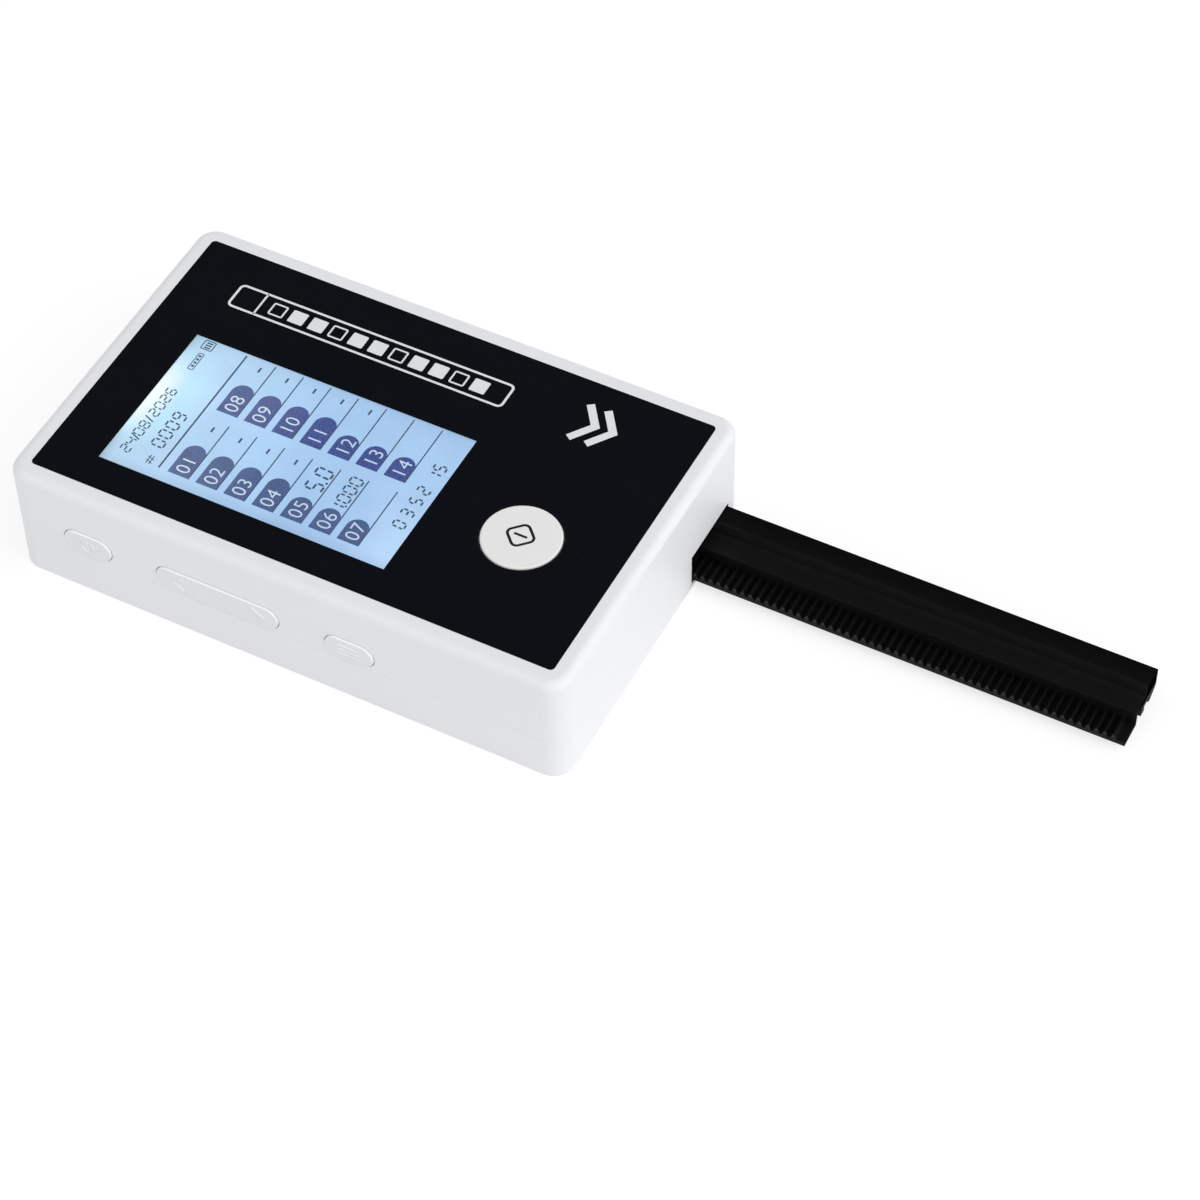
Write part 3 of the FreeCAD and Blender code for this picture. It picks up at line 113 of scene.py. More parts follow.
rub = maths(skin, "MULTIPLY_ADD", maths(skin, "SUBTRACT", smear, 0.5), entry["Smears"], entry["Roughness"])
rub = maths(skin, "MULTIPLY_ADD", maths(skin, "SUBTRACT", grain, 0.5), 0.12, rub)
skin.links.new(rub, leave["Roughness"])
skin.links.new(grain, leave["Height"])

# Broken edge: the small radius that every moulded or cut edge has, and a mask of where it is rubbed.
edge, entry, leave, place = effect(
    "broken_edge", {"Radius": 0.15 * mm, "Reach": 0.2}, {"Mask": "Float", "Normal": "Vector"})
rounded = add(edge, "Bevel", {"Radius": entry["Radius"]}, samples=6).outputs[0]
faced = add(edge, "NewGeometry").outputs["Normal"]
turn = add(edge, "VectorMath", {0: rounded, 1: faced}, operation="DOT_PRODUCT").outputs["Value"]
patchy = add(edge, "TexNoise", {"Vector": place, "Scale": 450.0, "Detail": 4.0}).outputs[0]
worn = span(edge, maths(edge, "SUBTRACT", 1.0, turn), 0.015, entry["Reach"])
edge.links.new(maths(edge, "MULTIPLY", worn, span(edge, patchy, 0.3, 0.65, 0.35, 1.0)), leave["Mask"])
edge.links.new(rounded, leave["Normal"])


def material(name):
    """An empty material with its Principled shader, ready for links."""
    made = bpy.data.materials.new(name)
    made.use_nodes = True
    return made, made.node_tree, made.node_tree.nodes["Principled BSDF"]


def surfaced(tree, shader, colour, rough, height, depth, normal=None):
    """Links a finish's colour, roughness and relief of this depth to its shader."""
    tree.links.new(colour, shader.inputs["Base Color"])
    tree.links.new(rough, shader.inputs["Roughness"])
    bump = add(tree, "Bump", {"Height": height, "Distance": depth})
    if normal:
        tree.links.new(normal, bump.inputs["Normal"])
    tree.links.new(bump.outputs[0], shader.inputs["Normal"])


def moulded(name, colour, rough, worn_colour, wear=0.3, drift=0.03, grain=3500.0, depth=0.004 * mm,
            smears=0.1, radius=0.15 * mm, specular=0.5):
    """A moulded plastic finish: skin, broken edges and the colour that rubbed edges take."""
    made, tree, shader = material(name)
    cover = add(tree, "Group", {"Colour": colour, "Drift": drift, "Grain": grain, "Roughness": rough,
                                "Smears": smears}, node_tree=skin).outputs
    rim = add(tree, "Group", {"Radius": radius}, node_tree=edge).outputs
    share = maths(tree, "MULTIPLY", rim["Mask"], wear)
    surfaced(tree, shader, blended(tree, share, cover["Colour"], worn_colour), cover["Roughness"],
             cover["Height"], depth, rim["Normal"])
    shader.inputs["Specular IOR Level"].default_value = specular
    return made


def dress(finish, *names):
    """Gives one finish to every material slot of these solids."""
    for name in names:
        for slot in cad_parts[name].material_slots:
            slot.material = finish


def zone(tree, axes, *spans):
    """A mask: the product of these spans. Each is an axis and the two places where it is 0 and 1."""
    masks = [span(tree, axes[axis], low, high) for axis, low, high in spans]
    mask = masks[0]
    for other in masks[1:]:
        mask = maths(tree, "MULTIPLY", mask, other)
    return mask


white_case = moulded("white_case_abs", tint(234, 235, 237), 0.46, tint(241, 242, 244), smears=0.14,
                     specular=0.4)
dress(white_case, "top_shell", "bottom_shell")

# Round the mouth the shells' insides are painted near black: painted shade where the mouth's inside lies in
# shade.
tree = white_case.node_tree
shader = tree.nodes["Principled BSDF"]
axes = add(tree, "SeparateXYZ", {0: add(tree, "TexCoord").outputs["Object"]}).outputs
shell_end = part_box("top_shell")[1].x
tray_low, tray_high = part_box("strip_tray")
painted_mouth_shade = zone(tree, axes,
               ("X", shell_end - 12 * mm, shell_end - 8 * mm),
               ("X", shell_end - 0.12 * mm, shell_end - 0.2 * mm),
               ("Y", tray_low.y - 1.4 * mm, tray_low.y - 1.0 * mm),
               ("Y", tray_high.y + 1.4 * mm, tray_high.y + 1.0 * mm),
               ("Z", tray_high.z + 1.2 * mm, tray_high.z + 0.9 * mm),
               ("Z", 0.7 * mm, 0.85 * mm))
# Painted shade: the base colour goes near black inside the mouth.
mouth_shade_colour = blended(tree, painted_mouth_shade, shader.inputs["Base Color"].links[0].from_socket, tint(14, 15, 20))
tree.links.new(mouth_shade_colour, shader.inputs["Base Color"])

# ---- Case screws ---------------------------------------------------------------------------------
# Slotted steel screws, zinc plated, sunk in the four corner holes of the bottom shell. All the other
# small screws inside are of the same stock.

turned, entry, leave, place = effect(
    "turned_metal", {"Colour": (0.6, 0.6, 0.6, 1.0), "Roughness": 0.3, "Marks": 2500.0},
    {"Colour": "Color", "Roughness": "Float", "Height": "Float"})
lines = add(turned, "TexNoise", {"Vector": place, "Scale": entry["Marks"], "Detail": 3.0,
                                 "Distortion": 0.4})
stain = add(turned, "TexNoise", {"Vector": place, "Scale": 300.0, "Detail": 5.0,
                                 "Roughness": 0.65}).outputs[0]
dull = span(turned, stain, 0.45, 0.75, 1.0, 0.72)
turned.links.new(add(turned, "HueSaturation", {"Value": dull, "Color": entry["Colour"]}).outputs[0],
                 leave["Colour"])
turned.links.new(maths(turned, "MULTIPLY_ADD", stain, 0.35, entry["Roughness"]), leave["Roughness"])
turned.links.new(lines.outputs[0], leave["Height"])


def metal(name, colour, rough, marks=2500.0, depth=0.003 * mm, radius=0.08 * mm):
    """A metal finish: fine tool marks, dull stains and slightly broken edges."""
    made, tree, shader = material(name)
    cover = add(tree, "Group", {"Colour": colour, "Roughness": rough, "Marks": marks},
                node_tree=turned).outputs
    rim = add(tree, "Group", {"Radius": radius}, node_tree=edge).outputs
    surfaced(tree, shader, cover["Colour"], cover["Roughness"], cover["Height"], depth, rim["Normal"])
    shader.inputs["Metallic"].default_value = 1.0
    return made


bare_steel = metal("zinc_plated_steel", tint(196, 198, 200), 0.18)
dress(bare_steel, "case_screws", "board_screws", "guide_screws", "plate_screws", "motor_screws",
      "head_screws", "usb_socket", "pinion_shaft", "motor_shaft")

# ---- Front panel ---------------------------------------------------------------------------------
# Gloss black acrylic sheet, printed from behind and stuck into the top shell. It carries a white strip
# sign above the display and a double arrow where the strip tray comes out.

panel_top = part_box("face_panel")[1].z
black_panel, tree, shader = material("gloss_black_panel")
cover = add(tree, "Group", {"Colour": tint(10, 12, 18), "Drift": 0.3, "Grain": 900.0, "Roughness": 0.2,
                            "Smears": 0.16}, node_tree=skin).outputs
rim = add(tree, "Group", {"Radius": 0.12 * mm}, node_tree=edge).outputs
place = add(tree, "TexCoord").outputs["Object"]
specks = add(tree, "TexVoronoi", {"Vector": place, "Scale": 260.0}).outputs["Distance"]
dust = maths(tree, "MULTIPLY", span(tree, specks, 0.03, 0.018), 0.12)
tone = blended(tree, dust, cover["Colour"], tint(120, 122, 128))
surfaced(tree, shader, tone, cover["Roughness"], cover["Height"], 0.0015 * mm, rim["Normal"])
shader.inputs["Specular IOR Level"].default_value = 0.18
dress(black_panel, "face_panel")


def stroke(points, width, closed=False):
    """A flat ribbon: each path point plus and minus half the width along its mitre, which is the sum of the
    two neighbouring edge normals divided by one plus their product."""
    path = np.array(points, float)
    step = np.roll(path, -1, axis=0) - path
    if not closed:
        step[-1] = step[-2]
    step /= np.linalg.norm(step, axis=1, keepdims=True)
    after = np.stack([-step[:, 1], step[:, 0]], axis=1)
    before = np.roll(after, 1, axis=0)
    if not closed:
        before[0] = after[0]
    mitre = (after + before) / (1 + np.sum(after * before, axis=1, keepdims=True))
    corners = np.concatenate([path + mitre * width / 2, path - mitre * width / 2])
    count = len(path)
    here = np.arange(count if closed else count - 1)
    there = (here + 1) % count
    return corners, np.stack([here, here + count, there + count, there], axis=1).tolist()


def patch(points):
    """A flat area inside one outline, given counter-clockwise."""
    return np.array(points, float), [list(range(len(points)))]


def arc(centre, radius, start, end, steps=12):
    """Points of a circular arc: centre plus radius times the cosine and sine of the angle, in degrees."""
    angle = np.radians(np.linspace(start, end, steps))
    return np.array(centre) + radius * np.stack([np.cos(angle), np.sin(angle)], axis=1)


def framed(low, high, radius, steps=6):
    """Outline of a rectangle with rounded corners, counter-clockwise: four quarter arcs in turn."""
    (left, down), (right, up) = low, high
    return np.concatenate([
        arc((right - radius, down + radius), radius, -90, 0, steps),
        arc((right - radius, up - radius), radius, 0, 90, steps),
        arc((left + radius, up - radius), radius, 90, 180, steps),
        arc((left + radius, down + radius), radius, 180, 270, steps)])


def drawn(name, shapes, origin, across, upward, unit=mm):
    """One mesh of flat shapes, each its points and faces. A point (a, b) goes to origin + unit (a across +
    b upward), and the faces look along across x upward."""
    origin, across, upward = (np.array(v, float) for v in (origin, across, upward))
    points, faces, count = [], [], 0
    for flat, rings in shapes:
        flat = flat * unit
        points.append(origin + flat[:, :1] * across + flat[:, 1:2] * upward)
        faces += [[i + count for i in ring] for ring in rings]
        count += len(flat)
    mesh = bpy.data.meshes.new(name)
    mesh.from_pydata(np.concatenate(points), [], faces)
    mesh.validate()
    piece = bpy.data.objects.new(name, mesh)
    bpy.context.scene.collection.objects.link(piece)
    return piece


strip_left, strip_right, strip_low, strip_high = -46.7, 17.6, 20.4, 26.7
strip_line, handle_length, handle_line = 0.55, 6.2, 0.45
pads, pad_side, pad_pitch, pad_first = 11, 3.5, 4.75, -38.1
pad_line, pad_corner = 0.4, 0.3
arrow_noses, arrow_middle, arrow_reach, arrow_half, arrow_line = (37.2, 41.2), 24.3, 3.6, 5.0, 1.7
handle = strip_left + handle_length
strip_sign = [
    stroke(framed((strip_left, strip_low), (strip_right, strip_high), 1.0), strip_line, closed=True),
    stroke([(handle, strip_low), (handle, strip_high)], handle_line)]
middle = (strip_low + strip_high) / 2
for n in range(pads):
    left, low = pad_first + n * pad_pitch, middle - pad_side / 2
    right, high = left + pad_side, middle + pad_side / 2
    inset = pad_line / 2
    if n % 3:
        strip_sign.append(patch(framed((left, low), (right, high), pad_corner)))
    else:
        outline = framed((left + inset, low + inset), (right - inset, high - inset), pad_corner)
        strip_sign.append(stroke(outline, pad_line, closed=True))
for nose in arrow_noses:
    back = nose - arrow_reach
    strip_sign.append(stroke([(back, arrow_middle - arrow_half), (nose, arrow_middle),
                              (back, arrow_middle + arrow_half)], arrow_line))
print_height = 0.012 * mm
panel_print = drawn("panel_print", strip_sign, (0, 0, panel_top + print_height), (1, 0, 0), (0, 1, 0))
white_ink = moulded("white_screen_ink", tint(231, 231, 233), 0.42, tint(214, 214, 216), wear=0.0,
                    drift=0.06, grain=5200.0, depth=0.002 * mm)
panel_print.data.materials.append(white_ink)
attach(panel_print, "case")

# ---- Display window ------------------------------------------------------------------------------
# Clear acrylic pane let into the panel, flush with it, with a faint film of handling marks.

clear_window, tree, shader = material("clear_window_acrylic")
cover = add(tree, "Group", {"Colour": tint(252, 253, 253), "Drift": 0.01, "Grain": 1200.0,
                            "Roughness": 0.02, "Smears": 0.03}, node_tree=skin).outputs
surfaced(tree, shader, cover["Colour"], cover["Roughness"], cover["Height"], 0.0004 * mm)
shader.inputs["Transmission Weight"].default_value = 1.0
shader.inputs["IOR"].default_value = 1.49
dress(clear_window, "display_window", "head_glass")

# ---- Display cell --------------------------------------------------------------------------------
# Liquid crystal cell on an edge-lit guide. The page glows pale blue, brightest under the lamps at the
# rear end, and the segments and name tabs block that light. Page units are 1/24 mm: a runs along +Y
# from the window's near side, b runs along +X from its rear end.

window_low, window_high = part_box("display_window")
glass_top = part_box("lcd_glass")[1].z
page_a, page_b = window_low.y, window_low.x

page_glow, entry, leave, place = effect("backlit_page", {"Light": 1.0}, {"Colour": "Color"})
axes = add(page_glow, "SeparateXYZ", {0: place}).outputs
along = maths(page_glow, "DIVIDE", maths(page_glow, "SUBTRACT", axes["X"], page_b),
              window_high.x - window_low.x)
side = maths(page_glow, "DIVIDE", maths(page_glow, "SUBTRACT", axes["Y"], page_a),
             window_high.y - window_low.y)
ramp = add(page_glow, "ValToRGB", {0: along})
steps = [(0.0, (164, 192, 210)), (0.03, (178, 212, 238)), (0.18, (181, 215, 247)),
         (0.4, (170, 207, 244)), (0.62, (162, 199, 239)), (1.0, (163, 199, 238))]
for at, colour in steps[1:-1]:
    ramp.color_ramp.elements.new(at)
for stop, (at, colour) in zip(ramp.color_ramp.elements, steps):
    stop.position, stop.color = at, tint(*colour)
front_end = maths(page_glow, "MULTIPLY", span(page_glow, along, 0.78, 1.0),
                  span(page_glow, side, 0.8, 0.1))
bright = blended(page_glow, front_end, ramp.outputs[0], tint(179, 212, 248))


def spread_of(middle, reach_a, reach_b):
    """Distance from the lamps in units of their reach: root of (side - middle over reach_a) squared plus
    (along over reach_b) squared."""
    off_a = maths(page_glow, "DIVIDE", maths(page_glow, "SUBTRACT", side, middle), reach_a)
    off_b = maths(page_glow, "DIVIDE", along, reach_b)
    squares = maths(page_glow, "ADD", maths(page_glow, "MULTIPLY", off_a, off_a),
                    maths(page_glow, "MULTIPLY", off_b, off_b))
    return maths(page_glow, "SQRT", squares, 0.0)


bright = blended(page_glow, span(page_glow, spread_of(0.54, 0.215, 0.11), 2.1, 0.9), bright,
                 tint(191, 232, 255))
bright = blended(page_glow, span(page_glow, spread_of(0.53, 0.33, 0.085), 1.15, 0.1), bright,
                 tint(244, 255, 255))
haze = add(page_glow, "TexNoise", {"Vector": place, "Scale": 90.0, "Detail": 3.0}).outputs[0]
dim = maths(page_glow, "MULTIPLY", span(page_glow, side, 0.0, 0.09, 0.86, 1.0),
            span(page_glow, side, 1.0, 0.9, 0.93, 1.0))
dim = maths(page_glow, "MULTIPLY", dim, span(page_glow, haze, 0.3, 0.7, 0.965, 1.035))
upward = add(page_glow, "SeparateXYZ", {0: add(page_glow, "NewGeometry").outputs["Normal"]}).outputs["Z"]
dim = maths(page_glow, "MULTIPLY", dim, span(page_glow, upward, 0.4, 0.6))
dim = maths(page_glow, "MULTIPLY", dim, entry["Light"])
page_glow.links.new(add(page_glow, "HueSaturation", {"Value": dim, "Color": bright}).outputs[0],
                    leave["Colour"])


def lit(name, tone=None, light=1.0, rough=0.3):
    """A backlit surface: the page's own glow, or the glow multiplied by a tone."""
    made, tree, shader = material(name)
    colour = add(tree, "Group", {"Light": light}, node_tree=page_glow).outputs[0]
    if tone:
        colour = blended(tree, 1.0, colour, tone, "MULTIPLY")
    grain = add(tree, "TexNoise", {"Vector": add(tree, "TexCoord").outputs["Object"], "Scale": 2600.0})
    tree.links.new(span(tree, grain.outputs[0], 0.3, 0.7, rough - 0.05, rough + 0.05),
                   shader.inputs["Roughness"])
    tree.links.new(colour, shader.inputs["Emission Color"])
    shader.inputs["Emission Strength"].default_value = 1.0
    shader.inputs["Base Color"].default_value = tint(8, 10, 14)
    shader.inputs["Specular IOR Level"].default_value = 0.1
    return made, tree, shader


display_cell = lit("backlit_cell", light=1.06)[0]
dress(display_cell, "lcd_glass")

unit = mm / 24
segments_of = {"0": "abcdef", "1": "bc", "2": "abged", "3": "abgcd", "4": "fgbc", "5": "afgcd",
               "6": "afgedc", "7": "abc", "8": "abcdefg", "9": "abcdfg"}


def segment(start, end, width):
    """One bar of a digit: a six-sided area with pointed ends, half the width in from each end."""
    start, end = np.array(start, float), np.array(end, float)
    along = (end - start) / np.linalg.norm(end - start)
    across = np.array([-along[1], along[0]])
    half = width / 2
    return patch([start, start + half * (along - across), end - half * (along + across), end,
                  end - half * (along - across), start + half * (along + across)])


def figure(sign, left, low, width, height, thick, lean=0.06):
    """The lit bars of one seven-segment digit in the box left..left+width, low..low+height. The ends of the
    bars stand a small gap apart, and the digit leans to the right with height."""
    gap, half, mid = thick * 0.35, thick / 2, height / 2
    x0, x1, y0, y1 = half, width - half, half, height - half
    ends = {"a": ((x0, y1), (x1, y1)), "b": ((x1, y1), (x1, mid)), "c": ((x1, mid), (x1, y0)),
            "d": ((x0, y0), (x1, y0)), "e": ((x0, y0), (x0, mid)), "f": ((x0, mid), (x0, y1)),
            "g": ((x0, mid), (x1, mid))}
    shapes = []
    for bar in segments_of[sign]:
        start, end = (np.array(p, float) for p in ends[bar])
        inset = gap * (end - start) / np.linalg.norm(end - start)
        points, rings = segment(start + inset, end - inset, thick)
        points[:, 0] += left + lean * points[:, 1]
        points[:, 1] += low
        shapes.append((points, rings))
    return shapes


def figures(text, lefts, low, width, height, thick):
    """A row of digits, each at its own left edge."""
    return [bar for sign, left in zip(text, lefts) for bar in figure(sign, left, low, width, height, thick)]


page_shift = (-0.254 * mm, 0.473 * mm)
page_across, page_upward = (0, 1, 0), (-1, 0, 0)
page_origin = (page_b + page_shift[0], page_a + page_shift[1], glass_top + 0.03 * mm)

date_low, date_high = -122, -62
# Date, list number with its number sign, and the rule under the heading.
page_ink = figures("24082026", (80, 130, 200, 252, 340, 392, 444, 496), date_low, 44, 60, 7.8)
page_ink += [stroke([(left, date_low + 2), (left + 22, date_high - 2)], 7.5) for left in (180, 308)]
page_ink += figures("0009", (176, 240, 304, 368), -255, 50, 77, 9.8)
page_ink += [stroke([(left, -256), (left + 12, -216)], 5) for left in (76, 98)]
page_ink += [stroke([(66, high), (122, high)], 5) for high in (-228, -244)]
page_ink += [stroke([(68, -299.5), (893, -299.5)], 9.5)]

# Two columns of rows, each row with a rule below it and most with a dash for no reading.
rows, row_top, row_pitch, row_height = 7, 350, 155.7, 117.0
rule_width, dash_width, dash_length = 6.8, 11, 34
for rule_left, rule_right, dash_left, dashes in ((67, 450, 378, 4), (515, 893, 821, 5)):
    for row in range(rows):
        foot = -(row_top + row * row_pitch + row_height)
        page_ink.append(stroke([(rule_left, foot + 1.7), (rule_right, foot + 1.7)], rule_width))
        if row < dashes:
            page_ink.append(stroke([(dash_left, foot + 63), (dash_left + dash_length, foot + 63)],
                                   dash_width))

# Two readings with their points, the time, and the two signs in the corner.
page_ink += figures("50", (270, 362), -1078, 58, 100, 11.8)
page_ink.append(patch([(336, -1078), (348, -1078), (348, -1066), (336, -1066)]))
page_ink += figures("1000", (204, 270, 330, 390), -1230, 50, 76, 9.8)
page_ink.append(patch([(254, -1231), (264, -1231), (264, -1221), (254, -1221)]))
page_ink += figures("035215", (250, 328, 412, 488, 590, 648), -1545, 46, 75, 10.2)
page_ink += [stroke(framed((838, -124), (896, -64), 6), 6, closed=True)]
page_ink += [stroke([(left, -112), (left, -78)], 9) for left in (850, 866, 882)]
page_ink += [stroke(framed((690, -108), (806, -80), 6), 5, closed=True)]
page_ink += [patch([(x, -101), (x + 14, -101), (x + 14, -87), (x, -87)]) for x in (708, 732, 756, 780)]
display_ink = drawn("display_segments", page_ink, page_origin, page_across, page_upward, unit)
segment_black = lit("segment_black", tone=(0.04, 0.085, 0.135, 1.0))[0]
display_ink.data.materials.append(segment_black)
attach(display_ink, "case")

tab_shapes, tab_names = [], []
for column, (tab_left, wide, narrow) in enumerate(((67, 275, 220), (515, 720, 665))):
    for row in range(rows):
        high = -(row_top + row * row_pitch)
        low, right = high - row_height, wide if row < 4 else narrow
        half = row_height / 2
        bow = arc((right - half, low + half), half, -90, 90, 16)
        tab_shapes.append(patch(np.concatenate([[(tab_left, high), (tab_left, low)], bow])))
        tab_names.append((f"{1 + row + rows * column:02d}", tab_left + 20, low + 21))
display_tabs = drawn("display_tabs", tab_shapes, page_origin, page_across, page_upward, unit)
tab_blue, tree, shader = lit("tab_blue")
place = add(tree, "TexCoord").outputs["Object"]
axes = add(tree, "SeparateXYZ", {0: place}).outputs
down = span(tree, axes["X"], window_low.x + 18 * mm, window_low.x + 40 * mm)
across = span(tree, axes["Y"], window_low.y + 10 * mm, window_low.y + 22 * mm)
deep = blended(tree, down, tint(74, 96, 143), tint(50, 81, 134))
deep = blended(tree, across, deep, blended(tree, down, tint(74, 92, 147), tint(34, 60, 138)))
mottle = add(tree, "TexNoise", {"Vector": place, "Scale": 260.0}).outputs[0]
deep = add(tree, "HueSaturation", {"Value": span(tree, mottle, 0.3, 0.7, 0.93, 1.07), "Color": deep})
tree.links.new(deep.outputs[0], shader.inputs["Emission Color"])
display_tabs.data.materials.append(tab_blue)
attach(display_tabs, "case")


def lettering(text, left, low, height):
    """Plain figures as flat shapes: the built-in face, scaled so that a figure has this height."""
    curve = bpy.data.curves.new("figure_line", "FONT")
    curve.body, curve.size, curve.space_character = text, height / 0.73, 1.08
    curve.offset = -0.008 * height
    holder = bpy.data.objects.new("figure_line", curve)
    bpy.context.scene.collection.objects.link(holder)
    bpy.context.view_layer.update()
    mesh = bpy.data.meshes.new_from_object(holder.evaluated_get(bpy.context.evaluated_depsgraph_get()))
    flat = np.zeros(len(mesh.vertices) * 3, np.float32)
    mesh.vertices.foreach_get("co", flat)
    rings = [list(face.vertices) for face in mesh.polygons]
    bpy.data.objects.remove(holder)
    bpy.data.meshes.remove(mesh)
    return flat.reshape(-1, 3)[:, :2].astype(float) + (left, low), rings


names = [lettering(text, left, low, 76) for text, left, low in tab_names]
lifted = (page_origin[0], page_origin[1], page_origin[2] + 0.02 * mm)
display_names = drawn("display_tab_numbers", names, lifted, page_across, page_upward, unit)
display_names.data.materials.append(lit("tab_number_light", tone=(1.55, 1.22, 1.05, 1.0))[0])
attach(display_names, "case")

# ---- Light guide, frame and contact strip --------------------------------------------------------
# Under the cell: an acrylic light guide, the white frame that pegs it to the board, and a rubber
# contact strip with carbon lines.

white_moulding = moulded("white_inner_moulding", tint(224, 225, 222), 0.45, tint(240, 240, 238))
dress(white_moulding, "lcd_frame")
light_guide, tree, shader = material("light_guide_acrylic")
dots = add(tree, "TexVoronoi", {"Vector": add(tree, "TexCoord").outputs["Object"], "Scale": 900.0,
                                "Randomness": 0.2}).outputs["Distance"]
tone = blended(tree, span(tree, dots, 0.3, 0.2), tint(226, 234, 240), tint(250, 252, 252))
surfaced(tree, shader, tone, span(tree, dots, 0.3, 0.2, 0.12, 0.5), dots, 0.01 * mm)
shader.inputs["Transmission Weight"].default_value = 0.35
shader.inputs["IOR"].default_value = 1.49
dress(light_guide, "lcd_backlight")
contact_rubber, tree, shader = material("contact_rubber")
lines = add(tree, "TexWave", {"Vector": add(tree, "TexCoord").outputs["Object"], "Scale": 900.0,
                              "Distortion": 0.3}, bands_direction="Y").outputs["Color"]
tone = blended(tree, lines, tint(38, 38, 40), tint(206, 150, 152))
surfaced(tree, shader, tone, span(tree, lines, 0.0, 1.0, 0.75, 0.6), lines, 0.01 * mm)
dress(contact_rubber, "contact_strip")

# ---- Boards and their parts ----------------------------------------------------------------------
# Green glass-fibre boards with tracks under the mask and tinned pads; black chips and mouldings sit
# on them.

board_green, tree, shader = material("board_green_mask")
place = add(tree, "TexCoord").outputs["Object"]
tracks = add(tree, "TexBrick", {"Vector": place, "Color1": (1, 1, 1, 1), "Color2": (0.7, 0.7, 0.7, 1),
                                "Mortar": (0, 0, 0, 1), "Scale": 1.0, "Mortar Size": 0.0006,
                                "Brick Width": 0.0085, "Row Height": 0.0021}, offset=0.37).outputs["Color"]
weave = add(tree, "TexNoise", {"Vector": place, "Scale": 1800.0, "Detail": 2.0}).outputs[0]
holes = add(tree, "TexVoronoi", {"Vector": place, "Scale": 240.0, "Randomness": 0.75}).outputs["Distance"]
pads_mask = span(tree, holes, 0.16, 0.12)
mask = blended(tree, tracks, tint(24, 92, 52), tint(14, 64, 38))
mask = blended(tree, maths(tree, "MULTIPLY", weave, 0.3), mask, tint(40, 120, 70))
tree.links.new(pads_mask, shader.inputs["Metallic"])
tone = blended(tree, pads_mask, mask, tint(208, 206, 196))
surfaced(tree, shader, tone, span(tree, weave, 0.2, 0.8, 0.25, 0.45), tracks, 0.03 * mm)
dress(board_green, "main_board", "sensor_board")

chip_black = moulded("chip_black_epoxy", tint(30, 31, 33), 0.5, tint(70, 70, 72), drift=0.2,
                     depth=0.01 * mm)
dress(chip_black, "processor", "motor_driver", "photodiode")
black_moulding = moulded("black_inner_moulding", tint(27, 27, 30), 0.45, tint(72, 73, 76), drift=0.2)
dress(black_moulding, "buzzer", "start_switch", "power_switch", "rocker_switch_rear",
      "rocker_switch_front", "menu_switch", "motor_terminal", "optical_head", "head_connector",
      "battery_connector")
lamp_white, tree, shader = material("head_lamp")
place = add(tree, "TexCoord").outputs["Object"]
phosphor = add(tree, "TexNoise", {"Vector": place, "Scale": 2200.0, "Detail": 3.0}).outputs[0]
tone = blended(tree, phosphor, tint(244, 232, 168), tint(250, 246, 222))
surfaced(tree, shader, tone, span(tree, phosphor, 0.3, 0.7, 0.25, 0.4), phosphor, 0.004 * mm)
dress(lamp_white, "head_lamps")

# ---- Battery -------------------------------------------------------------------------------------
# Lithium pouch in crimped silver film on a foam pad, with two silicone leads to its connector.

pack_silver, tree, shader = material("pouch_film")
place = add(tree, "TexCoord").outputs["Object"]
crease = add(tree, "TexNoise", {"Vector": place, "Scale": 160.0, "Detail": 6.0,
                                "Distortion": 2.0}).outputs[0]
tone = blended(tree, crease, tint(150, 153, 158), tint(206, 208, 212))
surfaced(tree, shader, tone, span(tree, crease, 0.3, 0.7, 0.28, 0.5), crease, 0.12 * mm)
shader.inputs["Metallic"].default_value = 0.85
dress(pack_silver, "battery")
foam, tree, shader = material("pad_foam")
place = add(tree, "TexCoord").outputs["Object"]
cells = add(tree, "TexVoronoi", {"Vector": place, "Scale": 2200.0}).outputs[0]
tone = blended(tree, cells, tint(34, 34, 36), tint(78, 78, 82))
surfaced(tree, shader, tone, span(tree, cells, 0.0, 1.0, 0.85, 1.0), cells, 0.12 * mm)
dress(foam, "battery_pad")
lead_red = moulded("lead_silicone", tint(168, 26, 28), 0.4, tint(196, 60, 58), drift=0.1, smears=0.2)
dress(lead_red, "battery_leads")

# ---- Start key -----------------------------------------------------------------------------------
# Round white key, moulded in ABS, that stands a hair above the panel and presses a switch. The start
# sign, a rounded diamond with a bar, is pad-printed in black.

key_white = moulded("key_white_abs", tint(238, 237, 236), 0.42, tint(248, 247, 246), smears=0.12)
dress(key_white, "start_button")
button_low, button_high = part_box("start_button")
sign_centre = Vector((button_low.x + button_high.x, button_low.y + button_high.y)) / 2
sign_at = (sign_centre.x - 0.3 * mm, sign_centre.y + 0.2 * mm, button_high.z + print_height)
half_diagonal, corner_radius = 3.27, 1.1
reach = half_diagonal - corner_radius * math.sqrt(2)
diamond = np.concatenate([
    arc((reach, 0), corner_radius, -45, 45, 8),
    arc((0, reach), corner_radius, 45, 135, 8),
    arc((-reach, 0), corner_radius, 135, 225, 8),
    arc((0, -reach), corner_radius, 225, 315, 8)])
sign_bar = stroke([(-1.45, 0), (1.45, 0)], 0.55)
start_sign = drawn("start_sign", [stroke(diamond, 0.58, closed=True), sign_bar], sign_at, (1, 0, 0),
                   (0, 1, 0))
black_ink = moulded("black_pad_ink", tint(12, 13, 14), 0.4, tint(30, 30, 32), wear=0.0, drift=0.3)
start_sign.data.materials.append(black_ink)
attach(start_sign, "start_key")
